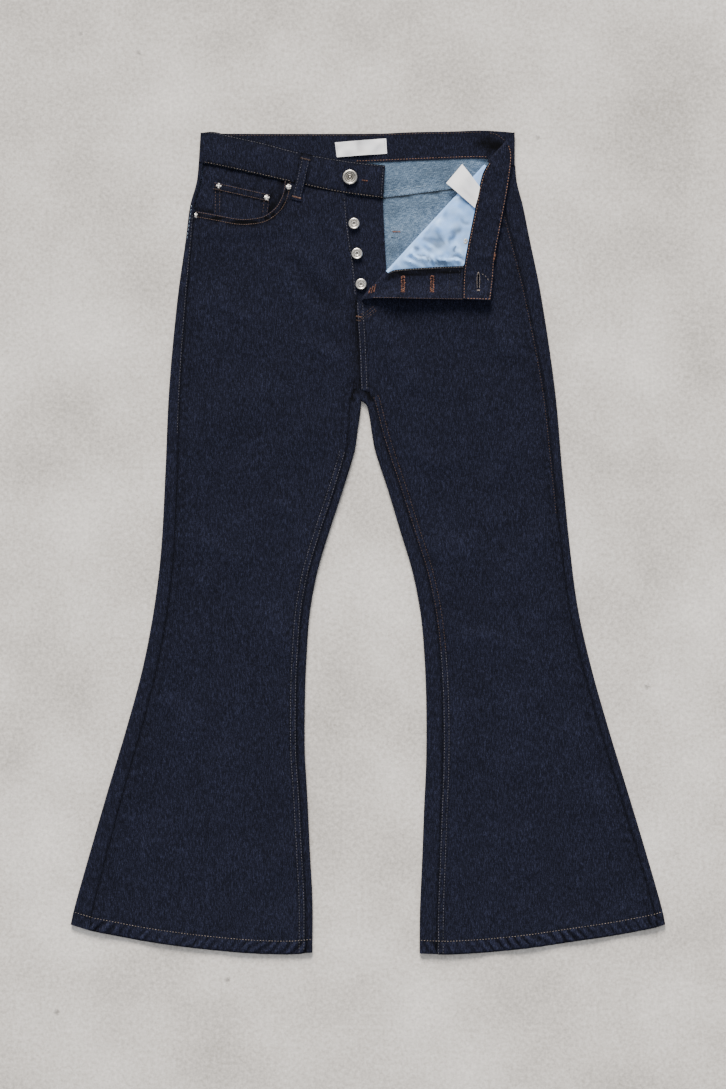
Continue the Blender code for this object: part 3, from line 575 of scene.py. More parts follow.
class Cloth:
    """A sewn piece's middle surface. Each face is wound to face the garment's outside."""

    def __init__(self):
        self.points = []
        self.tones = []
        self.faces = []
        self.lined = []
        self.count = 0

    def add(self, points, faces, tones, lined=False):
        """Add a patch's points and faces."""
        self.points.append(points)
        self.tones.append(tones)
        self.faces.append(np.asarray(faces) + self.count)
        self.lined.append(np.full(len(faces), lined))
        self.count += len(points)

    def patch(self, outline, height, up=True, spacing=PLAIN, fine=(), holes=(), lined=False):
        """Fill an outline, seen from above, at the height that a function gives.

        A lined patch has the outer finish on both its faces.
        """
        outline = np.asarray(outline, float)
        loops = [outline, *holes]
        points = []
        edges = []
        for loop in loops:
            first = len(points)
            points.extend(Vector(point) for point in loop)
            edges.extend((first + i, first + (i + 1) % len(loop)) for i in range(len(loop)))
        points.extend(Vector(point) for point in lattice(outline, spacing, loops, fine))
        flat, _, faces, _, _, _ = delaunay_2d_cdt(points, edges, [], 0, 1e-5)
        flat = np.array([(p.x, p.y) for p in flat])
        faces = np.array(faces)
        a, b, c = (flat[faces[:, k]] for k in range(3))
        area = (b[:, 0] - a[:, 0]) * (c[:, 1] - a[:, 1]) - (b[:, 1] - a[:, 1]) * (c[:, 0] - a[:, 0])
        middle = (a + b + c) / 3
        kept = inside(middle, outline) & (np.abs(area) > 0.02)
        for hole in holes:
            kept &= ~inside(middle, hole)
        faces = faces[kept]
        clockwise = area[kept] < 0
        faces[clockwise] = faces[clockwise][:, ::-1]
        if not up:
            faces = faces[:, ::-1]
        x, y = flat[:, 0], flat[:, 1]
        tones = height.tone(x, y) if isinstance(height, Relief) else np.zeros(len(flat))
        self.add(np.column_stack((flat, height(x, y))), faces, tones, lined)

    def turn(self, axis, side, low, high, outside_bulges=True, lined=False):
        """A half-round turn of the cloth about a line, from the low layer up to the high one."""
        low = np.broadcast_to(low, len(axis))
        high = np.broadcast_to(high, len(axis))
        radius = (high - low) / 2
        unit = beside(axis, 1.0) - axis
        rows = []
        for step in range(TURN_STEPS + 1):
            angle = math.pi * (step / TURN_STEPS - 0.5)
            line = axis + unit * (side * radius * math.cos(angle))[:, None]
            rows.append(np.column_stack((line, (high + low) / 2 + radius * math.sin(angle))))
        points = np.vstack(rows)
        n = len(axis)
        i = np.arange(n - 1)
        faces = []
        for k in range(TURN_STEPS):
            a = k * n + i
            faces.append(np.column_stack((a, a + 1, a + n + 1)))
            faces.append(np.column_stack((a, a + n + 1, a + n)))
        faces = np.vstack(faces)
        probe = (TURN_STEPS // 2) * n
        corner = points[[probe, probe + 1, probe + n]]
        normal = np.cross(corner[1] - corner[0], corner[2] - corner[0])
        outward = unit[0] * side * (1 if outside_bulges else -1)
        if normal[0] * outward[0] + normal[1] * outward[1] < 0:
            faces = faces[:, ::-1]
        self.add(points, faces, np.zeros(len(points)), lined)

    def shell(self, name, wall, outer, inner):
        """Weld the patches and give them a wall, with one material outside and another inside."""
        weld = 0.02
        points = np.vstack(self.points)
        faces = np.vstack(self.faces)
        tones = np.concatenate(self.tones)
        _, first, index = np.unique(np.round(points / weld).astype(np.int64), axis=0,
                                    return_index=True, return_inverse=True)
        index = index.ravel()
        points = points[first]
        tones = tones[first]
        faces = index[faces]
        whole = (faces[:, 0] != faces[:, 1]) & (faces[:, 1] != faces[:, 2]) & (faces[:, 0] != faces[:, 2])
        faces = faces[whole]
        lined = np.concatenate(self.lined)[whole]
        used = np.unique(faces)
        renumber = np.zeros(len(points), int)
        renumber[used] = np.arange(len(used))
        points, tones, faces = points[used], tones[used], renumber[faces]

        a, b, c = (points[faces[:, k]] for k in range(3))
        face_normals = np.cross(b - a, c - a)
        normals = np.zeros_like(points)
        for k in range(3):
            np.add.at(normals, faces[:, k], face_normals)
        normals /= np.maximum(np.linalg.norm(normals, axis=1), 1e-9)[:, None]
        count = len(points)
        both = np.vstack((points + normals * wall / 2, points - normals * wall / 2))

        pairs = np.vstack((faces[:, [0, 1]], faces[:, [1, 2]], faces[:, [2, 0]]))
        key = np.sort(pairs, axis=1)
        _, where, times = np.unique(key, axis=0, return_index=True, return_counts=True)
        rim = pairs[where[times == 1]]
        sides = np.column_stack((rim[:, 1], rim[:, 0], rim[:, 0] + count, rim[:, 1] + count))

        every = faces.tolist() + (faces[:, ::-1] + count).tolist() + sides.tolist()
        piece = new_piece(name, both, every, outer, inner)
        slots = np.zeros(len(every), int)
        slots[len(faces):2 * len(faces)] = ~lined
        piece.data.polygons.foreach_set("material_index", slots)
        # The tone: painted light and shade that follow the relief, and in places wear
        tone = piece.data.attributes.new("tone", "FLOAT", "POINT")
        tone.data.foreach_set("value", np.concatenate((tones, tones)))
        piece.data.set_sharp_from_angle(angle=math.radians(50))
        piece.data.validate()
        lengths = np.linalg.norm(face_normals, axis=1)
        piece["cut_area"] = float(lengths.sum() / 2 * MM * MM)
        return piece


def rides(piece, slot, *nodes):
    """Put a piece on the garment's one body, in place of CAD nodes. The slot, a finish of the record, is not
    used.
    """
    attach(piece, "root")
    if nodes:
        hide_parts(*nodes)


def sewn_piece(cloth, node, wall, outer, inner, slot, flat):
    piece = cloth.shell(node + "_cloth", wall, outer, inner)
    rides(piece, slot, node)


# Colours and finishes

# Length of one band of a wave texture whose scale is 1
ONE_WAVE = 0.314


def linear(hex_colour):
    """A linear colour from an sRGB hex value."""
    channels = [int(hex_colour[i:i + 2], 16) / 255 for i in (1, 3, 5)]
    return tuple(c / 12.92 if c <= 0.04045 else ((c + 0.055) / 1.055) ** 2.4 for c in channels) + (1.0,)


def add(tree, kind, inputs=None, **settings):
    """Add a shader node with its settings, and give its inputs values or other nodes' outputs."""
    made = tree.nodes.new("ShaderNode" + kind)
    for key, value in settings.items():
        setattr(made, key, value)
    for key, value in (inputs or {}).items():
        socket = made.inputs[key]
        if isinstance(value, bpy.types.NodeSocket):
            tree.links.new(value, socket)
        else:
            socket.default_value = value
    return made


def new_material(name):
    """An empty material with its tree and its shader."""
    material = bpy.data.materials.new(name)
    material.use_nodes = True
    return material, material.node_tree, material.node_tree.nodes["Principled BSDF"]


def ramp(tree, factor, *stops):
    """Colours or greys along a factor, as (position, hex) stops."""
    made = add(tree, "ValToRGB", {"Fac": factor})
    made.color_ramp.elements[0].position = stops[0][0]
    made.color_ramp.elements[0].color = linear(stops[0][1])
    made.color_ramp.elements[1].position = stops[-1][0]
    made.color_ramp.elements[1].color = linear(stops[-1][1])
    for position, colour in stops[1:-1]:
        made.color_ramp.elements.new(position).color = linear(colour)
    return made.outputs["Color"]


def in_millimetres(tree, rotation=0.0, scale=(1.0, 1.0, 1.0)):
    """The garment's own coordinates in millimetres, turned and then squeezed."""
    place = add(tree, "TexCoord")
    turned_place = add(tree, "Mapping", {"Vector": place.outputs["Object"], "Rotation": (0, 0, rotation)})
    squeezed = add(tree, "VectorMath", {0: turned_place.outputs["Vector"], 1: tuple(s / MM for s in scale)},
                   operation="MULTIPLY")
    return squeezed.outputs["Vector"]


def twill_denim(name, yarn, slant, lie, patches, sheen):
    """Cotton twill: slanted ridges, and streaks where the yarn has thick and pale places.

    The real ridges are 0.9 mm apart, too fine to show from above, so they are drawn
    2.6 mm apart. The streaks run the way that the yarn lies. Patches say how far the
    dye varies over a few centimetres. The cotton is matt, with hardly a highlight.
    """
    ridge = 2.6
    material, tree, shader = new_material(name)
    ridges = add(tree, "TexWave", {"Vector": in_millimetres(tree, slant), "Scale": ONE_WAVE / ridge,
                                   "Distortion": 1.2, "Detail": 2.0, "Detail Scale": 1.6},
                 bands_direction="X")
    slubs = add(tree, "TexNoise", {"Vector": in_millimetres(tree, lie, (0.8, 0.15, 0.8)), "Scale": 1.0,
                                   "Detail": 3.0, "Roughness": 0.7})
    grain = add(tree, "TexNoise", {"Vector": in_millimetres(tree, 0.3 + lie, (1.1, 0.6, 1.1)), "Scale": 1.0,
                                   "Detail": 2.0, "Roughness": 0.7})
    clouds = add(tree, "TexNoise", {"Vector": in_millimetres(tree, lie, (1.0, 0.5, 1.0)), "Scale": 0.03,
                                    "Detail": 4.0, "Roughness": 0.6})
    mix = add(tree, "Math", {0: slubs.outputs["Fac"], 1: 0.55}, operation="MULTIPLY")
    mix = add(tree, "Math", {0: grain.outputs["Fac"], 1: 0.45, 2: mix.outputs[0]}, operation="MULTIPLY_ADD")
    body = ramp(tree, mix.outputs[0], (0.36, yarn[0]), (0.5, yarn[1]), (0.66, yarn[2]))
    patchy = add(tree, "MapRange", {"Value": clouds.outputs["Fac"], "From Min": 0.3, "From Max": 0.7,
                                    "To Min": 1 - patches, "To Max": 1 + patches})
    body = add(tree, "VectorMath", {0: body, "Scale": patchy.outputs["Result"]}, operation="SCALE")
    # The tone attribute scales the colour: painted light and shade from the relief, and wear on the hems'
    # roping
    tone = add(tree, "Attribute", attribute_name="tone")
    lighter = add(tree, "MapRange", {"Value": tone.outputs["Fac"], "From Min": -1.0, "From Max": 1.0,
                                     "To Min": 0.12, "To Max": 1.88})
    painted_light_and_wear = add(tree, "VectorMath", {0: body.outputs["Vector"], "Scale": lighter.outputs["Result"]},
               operation="SCALE")
    tree.links.new(painted_light_and_wear.outputs["Vector"], shader.inputs["Base Color"])
    height = add(tree, "Math", {0: ridges.outputs["Fac"], 1: 0.35, 2: mix.outputs[0]},
                 operation="MULTIPLY_ADD")
    bump = add(tree, "Bump", {"Height": height.outputs[0], "Strength": 0.7, "Distance": 0.5 * MM})
    tree.links.new(bump.outputs["Normal"], shader.inputs["Normal"])
    shader.inputs["Roughness"].default_value = 0.88
    shader.inputs["Sheen Weight"].default_value = sheen
    shader.inputs["Sheen Roughness"].default_value = 0.6
    shader.inputs["Specular IOR Level"].default_value = 0.08
    return material


def plain_weave(name, colours, spacing):
    """A plain weave: a fine even grid of threads, clouded a little, with light and shade painted along its
    folds.

    The real threads are about 0.3 mm apart, too fine to show from above, so they are
    drawn at the given spacing. The cloth is smoother and shinier than denim.
    """
    material, tree, shader = new_material(name)
    cloudy = add(tree, "TexNoise", {"Vector": in_millimetres(tree), "Scale": 0.05, "Detail": 3.0})
    across, upright = (
        add(tree, "TexWave", {"Vector": in_millimetres(tree), "Scale": ONE_WAVE / spacing, "Distortion": 0.5},
            bands_direction=direction) for direction in "XY")
    colour = ramp(tree, cloudy.outputs["Fac"], (0.3, colours[0]), (0.7, colours[1]))
    # The tone attribute scales the colour: painted light and shade along the folds
    tone = add(tree, "Attribute", attribute_name="tone")
    shaded = add(tree, "MapRange", {"Value": tone.outputs["Fac"], "From Min": -1.0, "From Max": 0.5,
                                    "To Min": 0.4, "To Max": 1.3})
    painted_light_and_wear = add(tree, "VectorMath", {0: colour, "Scale": shaded.outputs["Result"]}, operation="SCALE")
    tree.links.new(painted_light_and_wear.outputs["Vector"], shader.inputs["Base Color"])
    grid = add(tree, "Math", {0: across.outputs["Fac"], 1: upright.outputs["Fac"]}, operation="MULTIPLY")
    bump = add(tree, "Bump", {"Height": grid.outputs[0], "Strength": 0.25, "Distance": 0.2 * MM})
    tree.links.new(bump.outputs["Normal"], shader.inputs["Normal"])
    shader.inputs["Roughness"].default_value = 0.8
    shader.inputs["Sheen Weight"].default_value = 0.1
    return material


def spun_thread(name, dark, light, patchy=0.16):
    """Spun polyester thread: dull, its colour uneven from stitch to stitch, with a 0.7 mm twist."""
    twist_long = 0.7
    material, tree, shader = new_material(name)
    uneven_dye = add(tree, "TexNoise", {"Vector": in_millimetres(tree), "Scale": patchy, "Detail": 2.0})
    colour = ramp(tree, uneven_dye.outputs["Fac"], (0.35, dark), (0.65, light))
    tree.links.new(colour, shader.inputs["Base Color"])
    twist = add(tree, "TexWave", {"Vector": in_millimetres(tree, 0.8), "Scale": ONE_WAVE / twist_long})
    bump = add(tree, "Bump", {"Height": twist.outputs["Fac"], "Strength": 0.3, "Distance": 0.1 * MM})
    tree.links.new(bump.outputs["Normal"], shader.inputs["Normal"])
    shader.inputs["Roughness"].default_value = 0.6
    return material


def nickel_plate(name, clean, tarnish, roughness):
    """Nickel-plated brass, tumbled to a satin: grey-white, with small duller spots."""
    material, tree, shader = new_material(name)
    spots = add(tree, "TexNoise", {"Vector": in_millimetres(tree), "Scale": 0.6, "Detail": 4.0})
    colour = ramp(tree, spots.outputs["Fac"], (0.38, tarnish), (0.6, clean))
    tree.links.new(colour, shader.inputs["Base Color"])
    dull = add(tree, "MapRange", {"Value": spots.outputs["Fac"], "To Min": roughness + 0.12,
                                  "To Max": roughness - 0.05})
    tree.links.new(dull.outputs["Result"], shader.inputs["Roughness"])
    shader.inputs["Metallic"].default_value = 1.0
    return material


def pale_concrete():
    """Trowelled concrete: pale and matt, with faint clouds, a fine grain and a few dark pits."""
    material, tree, shader = new_material("pale_concrete")
    place = in_millimetres(tree)
    broad = add(tree, "TexNoise", {"Vector": place, "Scale": 0.006, "Detail": 4.0, "Roughness": 0.5})
    small = add(tree, "TexNoise", {"Vector": place, "Scale": 0.2, "Detail": 4.0, "Roughness": 0.75})
    faint = add(tree, "Math", {0: broad.outputs["Fac"], 1: 0.6}, operation="MULTIPLY")
    both = add(tree, "Math", {0: small.outputs["Fac"], 1: 0.75, 2: faint.outputs[0]},
               operation="MULTIPLY_ADD")
    colour = ramp(tree, both.outputs[0], (0.45, "#a8a49e"), (0.675, "#cfcbc6"), (0.9, "#eeebe7"))
    ragged = add(tree, "VectorMath", {0: small.outputs["Color"], 1: (14.0, 14.0, 0.0), 2: place},
                 operation="MULTIPLY_ADD")
    pits = add(tree, "TexVoronoi", {"Vector": ragged.outputs["Vector"], "Scale": 0.011})
    pitted = add(tree, "MapRange", {"Value": pits.outputs["Distance"], "From Min": 0.015, "From Max": 0.055,
                                    "To Min": 0.5, "To Max": 1.0})
    colour = add(tree, "VectorMath", {0: colour, "Scale": pitted.outputs["Result"]}, operation="SCALE")
    tree.links.new(colour.outputs["Vector"], shader.inputs["Base Color"])
    bump = add(tree, "Bump", {"Height": small.outputs["Fac"], "Strength": 0.25, "Distance": 0.5 * MM})
    tree.links.new(bump.outputs["Normal"], shader.inputs["Normal"])
    shader.inputs["Roughness"].default_value = 0.9
    shader.inputs["Specular IOR Level"].default_value = 0.2
    return material


# Rinsed denim's outside, nearly all indigo warp: a matt near-black blue with a few paler flecks of weft
INDIGO = twill_denim("rinsed_indigo_twill", ("#070910", "#121421", "#2b2f45"), slant=math.radians(-27),
                     lie=0.0, patches=0.07, sheen=0.01)
# The same denim's inside, mostly undyed weft: a pale grey-blue, streaked the way that the weft lies
INSIDE = twill_denim("indigo_twill_inside", ("#35465a", "#54687e", "#8499b0"), slant=math.radians(27),
                     lie=math.radians(78), patches=0.3, sheen=0.02)
# Thin dyed cotton: a clear pale blue, with painted shade in its folds
POCKETING = plain_weave("pale_blue_pocketing", ("#7fb0f2", "#a9d0ff"), spacing=1.6)
# Woven polyester tape: smooth and nearly white
TAPE = plain_weave("white_woven_tape", ("#eef1f7", "#fafbfd"), spacing=1.2)
# Topstitching threads: thin dull lines that stand out from the denim in their own colours
COPPER = spun_thread("copper_thread", "#5d4436", "#946f58")
BROWN = spun_thread("brown_thread", "#382b25", "#5f4a3d")
PALE = spun_thread("pale_thread", "#68605a", "#a1968b")
GREY = spun_thread("grey_thread", "#34363f", "#66656d")
# Bar tack thread: close loops, its colour changing faster from stitch to stitch as painted glints where each
# loop catches the light
TACK = spun_thread("orange_tack_thread", "#4a2f25", "#9a664c", patchy=0.45)
# Overlock and basting threads of the inside: one lost in the denim, one close to its weft
NAVY = spun_thread("navy_thread", "#06080e", "#171b28")
STEEL_BLUE = spun_thread("light_blue_thread", "#7f96ad", "#a9bfd2")
# Nickel plate as tumbled, polished, rubbed white and dull with dirt in a hollow
NICKEL = nickel_plate("satin_nickel", "#cfccc6", "#9a968e", 0.42)
BRIGHT_NICKEL = nickel_plate("bright_nickel", "#e6e3dd", "#b9b5ad", 0.36)
WORN_NICKEL = nickel_plate("worn_nickel", "#fbfaf8", "#dedbd6", 0.5)
TARNISH = nickel_plate("tarnished_nickel", "#87837b", "#625f59", 0.55)


# Heights of the layers

def front_base(leg):
    """A front panel: high at the hip and the seams, low along the leg."""
    def height(x, y):
        to_side = np.abs(x - seam_at(leg, True, y))
        to_inner = np.where(y < CROTCH_Y, np.abs(x - seam_at(leg, False, y)), 1e6)
        away_from_seam = ease(np.minimum(to_side, to_inner) / SEAM_SLOPE)
        below_hip = 1 - ease((y - THIGH_Y) / THIGH_SLOPE)
        above_hem = 1 - (HEM_Z - LEG_Z) / (FRONT_Z - LEG_Z) * ease((ABOVE_HEM_Y - y) / HEM_SLOPE)
        return FRONT_Z - (FRONT_Z - LEG_Z) * away_from_seam * below_hip * above_hem
    return height


def right_front_base(x, y):
    """The right front also rises over the hidden part of the coin pocket."""
    outer, inner, foot = -221, -127, 426
    beside_coin = np.maximum(np.maximum(outer - x, x - inner), np.maximum(foot - y, 0.0))
    return front_base(RIGHT)(x, y) + COIN_LIFT * (1 - ease(beside_coin / 12))


def back_base(leg):
    """A back panel: raised over its pocket, flat elsewhere."""
    pocket = back_pocket_outline(leg)
    closed = np.vstack((pocket, pocket[:1]))

    def height(x, y):
        off, _ = measure(x, y, closed, 30)
        within = inside(np.column_stack((np.ravel(x), np.ravel(y))), pocket).reshape(np.shape(x))
        apart = np.where(within, 0.0, np.abs(off))
        return BACK_Z + PATCH_LIFT * (1 - ease((apart - 2) / 9))
    return height


def yoke_base(x, y):
    """A yoke: raised beside the waistband, where the belt loops lie under it."""
    loops_reach, loops_foot = 140, 501
    near_centre = 1 - ease((np.abs(x - CENTRE_BACK) - loops_reach) / 40)
    return BACK_Z + PATCH_LIFT * near_centre * (1 - ease((loops_foot - y) / 11))


def leg_relief(leg, base, seed):
    """What every leg has: soft waves, a puckered hem and a felled inseam."""
    side = side_seam(leg)
    inner = inseam(leg)
    inward = leg.side_sign
    hem = smooth(leg.hem)
    up = into_leg(leg)
    relief = Relief(base, seed, lowest=2.1)
    relief.rumple(95, 0.5).rumple(38, 0.2).rumple(15, 0.07)
    # The hem's tones: a lighter band, and roping whose crests are lighter with wear and whose troughs are in
    # painted shade
    relief.ply(hem, 0, up * HEM_DEEP, 1.0, soft=2.4, tone=0.1)
    relief.pucker(hem, up * 1, up * (HEM_DEEP - 2), 14, 1.1, slant=0.8 * leg.side_sign, tone=0.85)
    relief.pucker(hem, up * 2, up * (HEM_DEEP - 4), 7.5, 0.35, slant=0.4 * leg.side_sign, tone=0.4)
    relief.pucker(hem, up * (HEM_DEEP + 3), up * (HEM_DEEP + 16), 19, 0.25, tone=0.12)
    # Painted shade in the hem's stitch groove and along its very edge, and a lighter line painted just inside
    # its fold
    relief.groove(hem, up * HEM_STITCH, 1.8, 0.8, tone=-0.45)
    relief.groove(hem, up * 0.4, 1.6, 0.5, tone=-0.8).groove(hem, up * 3.2, 1.6, 0.0, tone=0.3)
    # The seams' ripples with painted light on their crests and painted shade in their troughs, painted shade
    # in their stitch grooves, and the side seam's felled band a little lighter
    relief.pucker(inner, inward * 1, inward * 9, 6.8, 0.25, slant=0.3, tone=0.35)
    relief.groove(inner, inward * 0.8, 1.3, 0.5, tone=-0.75)
    relief.groove(inner, inward * 9.6, 1.4, 0.4, tone=-0.5)
    relief.groove(side, -inward * 0.8, 1.4, 0.5, tone=-0.6)
    relief.ply(side, -inward * 1.5, -inward * 7.5, 0.35, soft=2.0, tone=0.1)
    relief.groove(side, -inward * 9.0, 1.6, 0.35, tone=-0.4)
    relief.pucker(side, -inward * 1.5, -inward * 9, 15, 0.2, tone=0.15)
    return relief


def fine_zones(leg):
    """Where a leg's sewing asks for closer points: along its hem and its inseam."""
    hem = smooth(leg.hem)
    if leg is RIGHT:
        return [(hem, 0, HEM_DEEP + 9), (inseam(leg), -13, 0)]
    return [(hem, -HEM_DEEP - 9, 0), (inseam(leg), 0, 13)]


# The pieces

def back_panel(leg):
    """A back panel: underneath, round both edges of the leg, and on to the front."""
    side_axis = trimmed(turn_axis(leg, True), high_y=leg.yoke_seam[-1][1] - GAP)
    inner_axis = turn_axis(leg, False)
    centre_x = CENTRE_BACK - 2 * GAP if leg is LEFT else CENTRE_BACK - GAP / 2
    top_edge = stretch(smooth(leg.yoke_seam), side_axis[0][0], centre_x)
    crotch = (centre_x, inner_axis[0][1] + GAP)
    centre_back = path((centre_x, top_edge[-1][1]), crotch, inner_axis[0])
    bottom = np.vstack((centre_back[:-1], inner_axis, hem_between(leg, inner_axis[-1], side_axis[-1]),
                        side_axis[::-1], top_edge[1:-1]))
    under = Relief(back_base(leg), 11)
    if leg is LEFT:
        under.groove(smooth(leg.yoke_seam), -1.0, 1.5, 0.0, tone=-1.6)
    cloth = Cloth()
    cloth.patch(bottom, under, up=False, spacing=HIDDEN, fine=[(smooth(leg.yoke_seam), -150, 0)])
    cloth.turn(side_axis, leg.side_sign, BACK_Z, FRONT_Z)
    cloth.turn(inner_axis, -leg.side_sign, BACK_Z, FRONT_Z)

    hem = smooth(leg.hem)
    up = into_leg(leg)
    strip = Relief(level(FRONT_Z), 40 + leg.side_sign)
    strip.rumple(34, 0.1)
    # Roping with crests lighter with wear and troughs in painted shade, and painted shade in the stitch
    # grooves
    strip.pucker(hem, up * 2, up * (HEM_DEEP - 2), 13.5, 0.6, slant=0.75 * leg.side_sign, tone=0.8)
    strip.groove(hem, up * HEM_STITCH, 1.6, 0.35, tone=-0.3)
    side_edge = trimmed(ends_on_hem(leg, side_seam(leg)), high_y=side_axis[0][1])
    strip.groove(side_seam(leg), 0, 1.8, 0.5, tone=-0.8)
    strip.groove(inseam(leg), 0, 1.6, 0.5, tone=-0.7)
    # Painted shade at the crotch
    crotch_shades = (((-23, 209), (4, 208.5)), ((-25, 205), (-19, 196)), ((-1, 205), (4, 196)))
    for a, b in crotch_shades:
        strip.groove(path(a, b), 0, 2.2, 0.4, tone=-1.0)
    cloth.patch(np.vstack((side_axis, side_edge[::-1])), pinned(strip, side_axis),
                fine=[(side_axis, -40, 40)])
    inner_edge = ends_on_hem(leg, inseam(leg))
    crotch_top = np.array([(centre_x, CROTCH_Y - GAP), crotch])
    cloth.patch(np.vstack((inner_axis, inner_edge[::-1], crotch_top)), pinned(strip, inner_axis),
                fine=[(inner_axis, -40, 40)])
    sewn_piece(cloth, f"back_{leg.name}_panel", DENIM, INDIGO, INSIDE, "indigo_denim",
               (0.47, 1.1))


def pinned(relief, axis):
    """Relief that dies away at a turned edge, so that the patch meets the turn."""
    joined = Relief(relief.base, 0)

    def part(x, y):
        off, _ = measure(x, y, axis)
        share = ease((np.abs(off) - 0.2) / 3.5)
        z = relief(x, y)
        return (z - relief.base(x, y)) * share, relief.tone(x, y) * share
    joined.parts.append(part)
    return joined


def back_yoke(leg):
    """A yoke: between the back panel and the waistband, and round the side."""
    side_axis = beside(smooth([(row.fold, row.y) for row in leg.side[:3]]),
                       -leg.side_sign * ((FRONT_Z - BACK_Z) / 2 + DENIM / 2))
    waist_y = height_at(back_waist(), side_axis[0][0]) - GAP
    side_axis = trimmed(side_axis, low_y=leg.yoke_seam[-1][1], high_y=waist_y)
    centre_x = CENTRE_BACK + leg.side_sign * GAP / 2
    waist = stretch(back_waist(), centre_x, side_axis[0][0])
    seam = stretch(smooth(leg.yoke_seam), side_axis[-1][0], centre_x, drop=0)
    relief = Relief(yoke_base, 70)
    if leg is LEFT:
        relief.groove(smooth(leg.yoke_seam), 9.5, 1.3, 0.12, tone=-0.3)
        relief.ply(smooth(leg.yoke_seam), 0, 9.5, 0.35, soft=1.2, tone=0.1)
    cloth = Cloth()
    cloth.patch(np.vstack((waist, side_axis[1:], seam[1:])), relief, up=False)
    cloth.turn(side_axis, leg.side_sign, BACK_Z, FRONT_Z)
    side_edge = side_seam(leg)
    side_top = height_at(front_waist(leg), side_edge[0][0]) - GAP
    side_edge = trimmed(side_edge, low_y=side_axis[-1][1], high_y=side_top)
    top = stretch(front_waist(leg), side_edge[0][0], side_axis[0][0])
    cloth.patch(np.vstack((side_axis, side_edge[::-1], top[1:-1])), level(FRONT_Z))
    sewn_piece(cloth, f"back_{leg.name}_yoke", DENIM, INDIGO, INSIDE, "indigo_denim",
               (0.26, 0.075))


def back_pocket(leg):
    """A patch pocket on the outside of the back, which is underneath."""
    outline = back_pocket_outline(leg)
    closed = path(*outline, outline[0])[:-1]
    cloth = Cloth()
    cloth.patch(closed, level(BACK_Z), up=False)
    sewn_piece(cloth, f"back_{leg.name}_pocket", DENIM, INDIGO, INSIDE, "indigo_denim",
               (0.15, 0.175))


def front_leg_edges(leg):
    """The side seam, hem and inseam that bound a front panel, round from the side."""
    side = ends_on_hem(leg, side_seam(leg)) - (leg.side_sign * GAP, 0)
    inner = ends_on_hem(leg, inseam(leg)) + (leg.side_sign * GAP, 0)
    inner[0][1] += GAP
    return side, hem_between(leg, side[-1], inner[-1]), inner[::-1]


# Drag lines and soft folds of the fronts, as (from, to, width, rise)
RIGHT_FRONT_CREASES = [
    ((-97, 447), (-28, 372), 9, 1.0), ((-82, 457), (-20, 338), 8, -0.7),
    ((-60, 462), (-22, 352), 7, 0.9), ((-120, 425), (-40, 340), 12, 0.7),
    ((-110, 400), (-20, 292), 10, -0.5), ((-150, 398), (-45, 282), 14, 0.6),
    ((-45, 330), (-24, 250), 8, 0.5), ((-90, 300), (-28, 228), 11, 0.6),
    ((-235, 330), (-140, 318), 16, 0.5), ((-262, 20), (-150, -30), 20, 0.6),
    ((-150, 60), (-62, 8), 16, 0.6), ((-270, -60), (-190, -95), 18, -0.45),
    ((-140, -60), (-100, -190), 18, 0.6), ((-300, -170), (-230, -330), 20, 0.6),
    ((-215, -230), (-190, -420), 20, 0.5), ((-130, -260), (-128, -470), 16, -0.4),
    ((-320, -330), (-305, -500), 18, 0.5)]
LEFT_FRONT_CREASES = [
    ((15, 318), (120, 322), 9, -0.5), ((-4, 300), (60, 262), 10, 0.6),
    ((5, 262), (95, 205), 13, 0.7), ((140, 318), (215, 250), 14, 0.6),
    ((30, 150), (130, 92), 15, 0.6), ((225, 160), (150, 60), 16, 0.5),
    ((60, 20), (170, -30), 18, 0.7), ((255, 10), (175, -60), 16, 0.6),
    ((92, -80), (180, -108), 13, -0.6), ((110, -125), (232, -150), 16, 0.6),
    ((110, -190), (120, -360), 16, 0.5), ((190, -170), (230, -340), 20, 0.6),
    ((275, -230), (335, -420), 18, 0.5), ((165, -380), (180, -510), 16, 0.5),
    ((250, -400), (285, -520), 18, -0.4)]
FLY_FOOT_CREASES = [
    ((-6, 303), (22, 292), 4, -0.5), ((-4, 296), (26, 300), 4, 0.5), ((2, 286), (30, 276), 5, 0.4)]


def right_front_relief():
    """The right front: drag lines from the fly to the pocket, and a turned pocket mouth."""
    mouth = smooth(POCKET_MOUTH)
    relief = leg_relief(RIGHT, right_front_base, 100)
    # Round the mouth: a painted highlight on its edge and beside the outer row, a darker band with painted
    # shade between and below the rows, and painted light and shade on its ripples
    relief.ply(mouth, 0, 9, 0.6, soft=2.0, tone=-0.2)
    relief.groove(mouth, 0.2, 0.9, 0.0, tone=0.7).groove(mouth, 4.6, 2.2, 0.6, tone=-1.1)
    relief.groove(mouth, 8.2, 0.9, 0.0, tone=0.35).groove(mouth, 10.2, 1.5, 0.3, tone=-0.5)
    relief.pucker(mouth, 1, 8, 7.5, 0.2, tone=0.25)
    # Drag lines painted lighter on their ridges and darker in their troughs
    relief.creases(RIGHT_FRONT_CREASES, rise=2.6, tone=0.22)
    # Painted shade along the fly's edge, in a wide band beside the centre seam, under the waistband and below
    # the inner rivet
    relief.groove(smooth(FLY_EDGE), 0, 1.6, 0.3, tone=-0.3)
    centre = smooth(CENTRE_FRONT)
    relief.groove(centre, -1.2, 2.0, 0.5, tone=-0.9).groove(centre, -6, 5.5, 0.5, tone=-0.4)
    relief.groove(smooth(RIGHT_WAIST), -1.4, 1.3, 0.4, tone=-0.6)
    shadow_below_rivet = path((-105.5, 479), (-107.5, 469))
    relief.groove(shadow_below_rivet, 0, 2.2, 0.3, tone=-0.7)
    return relief


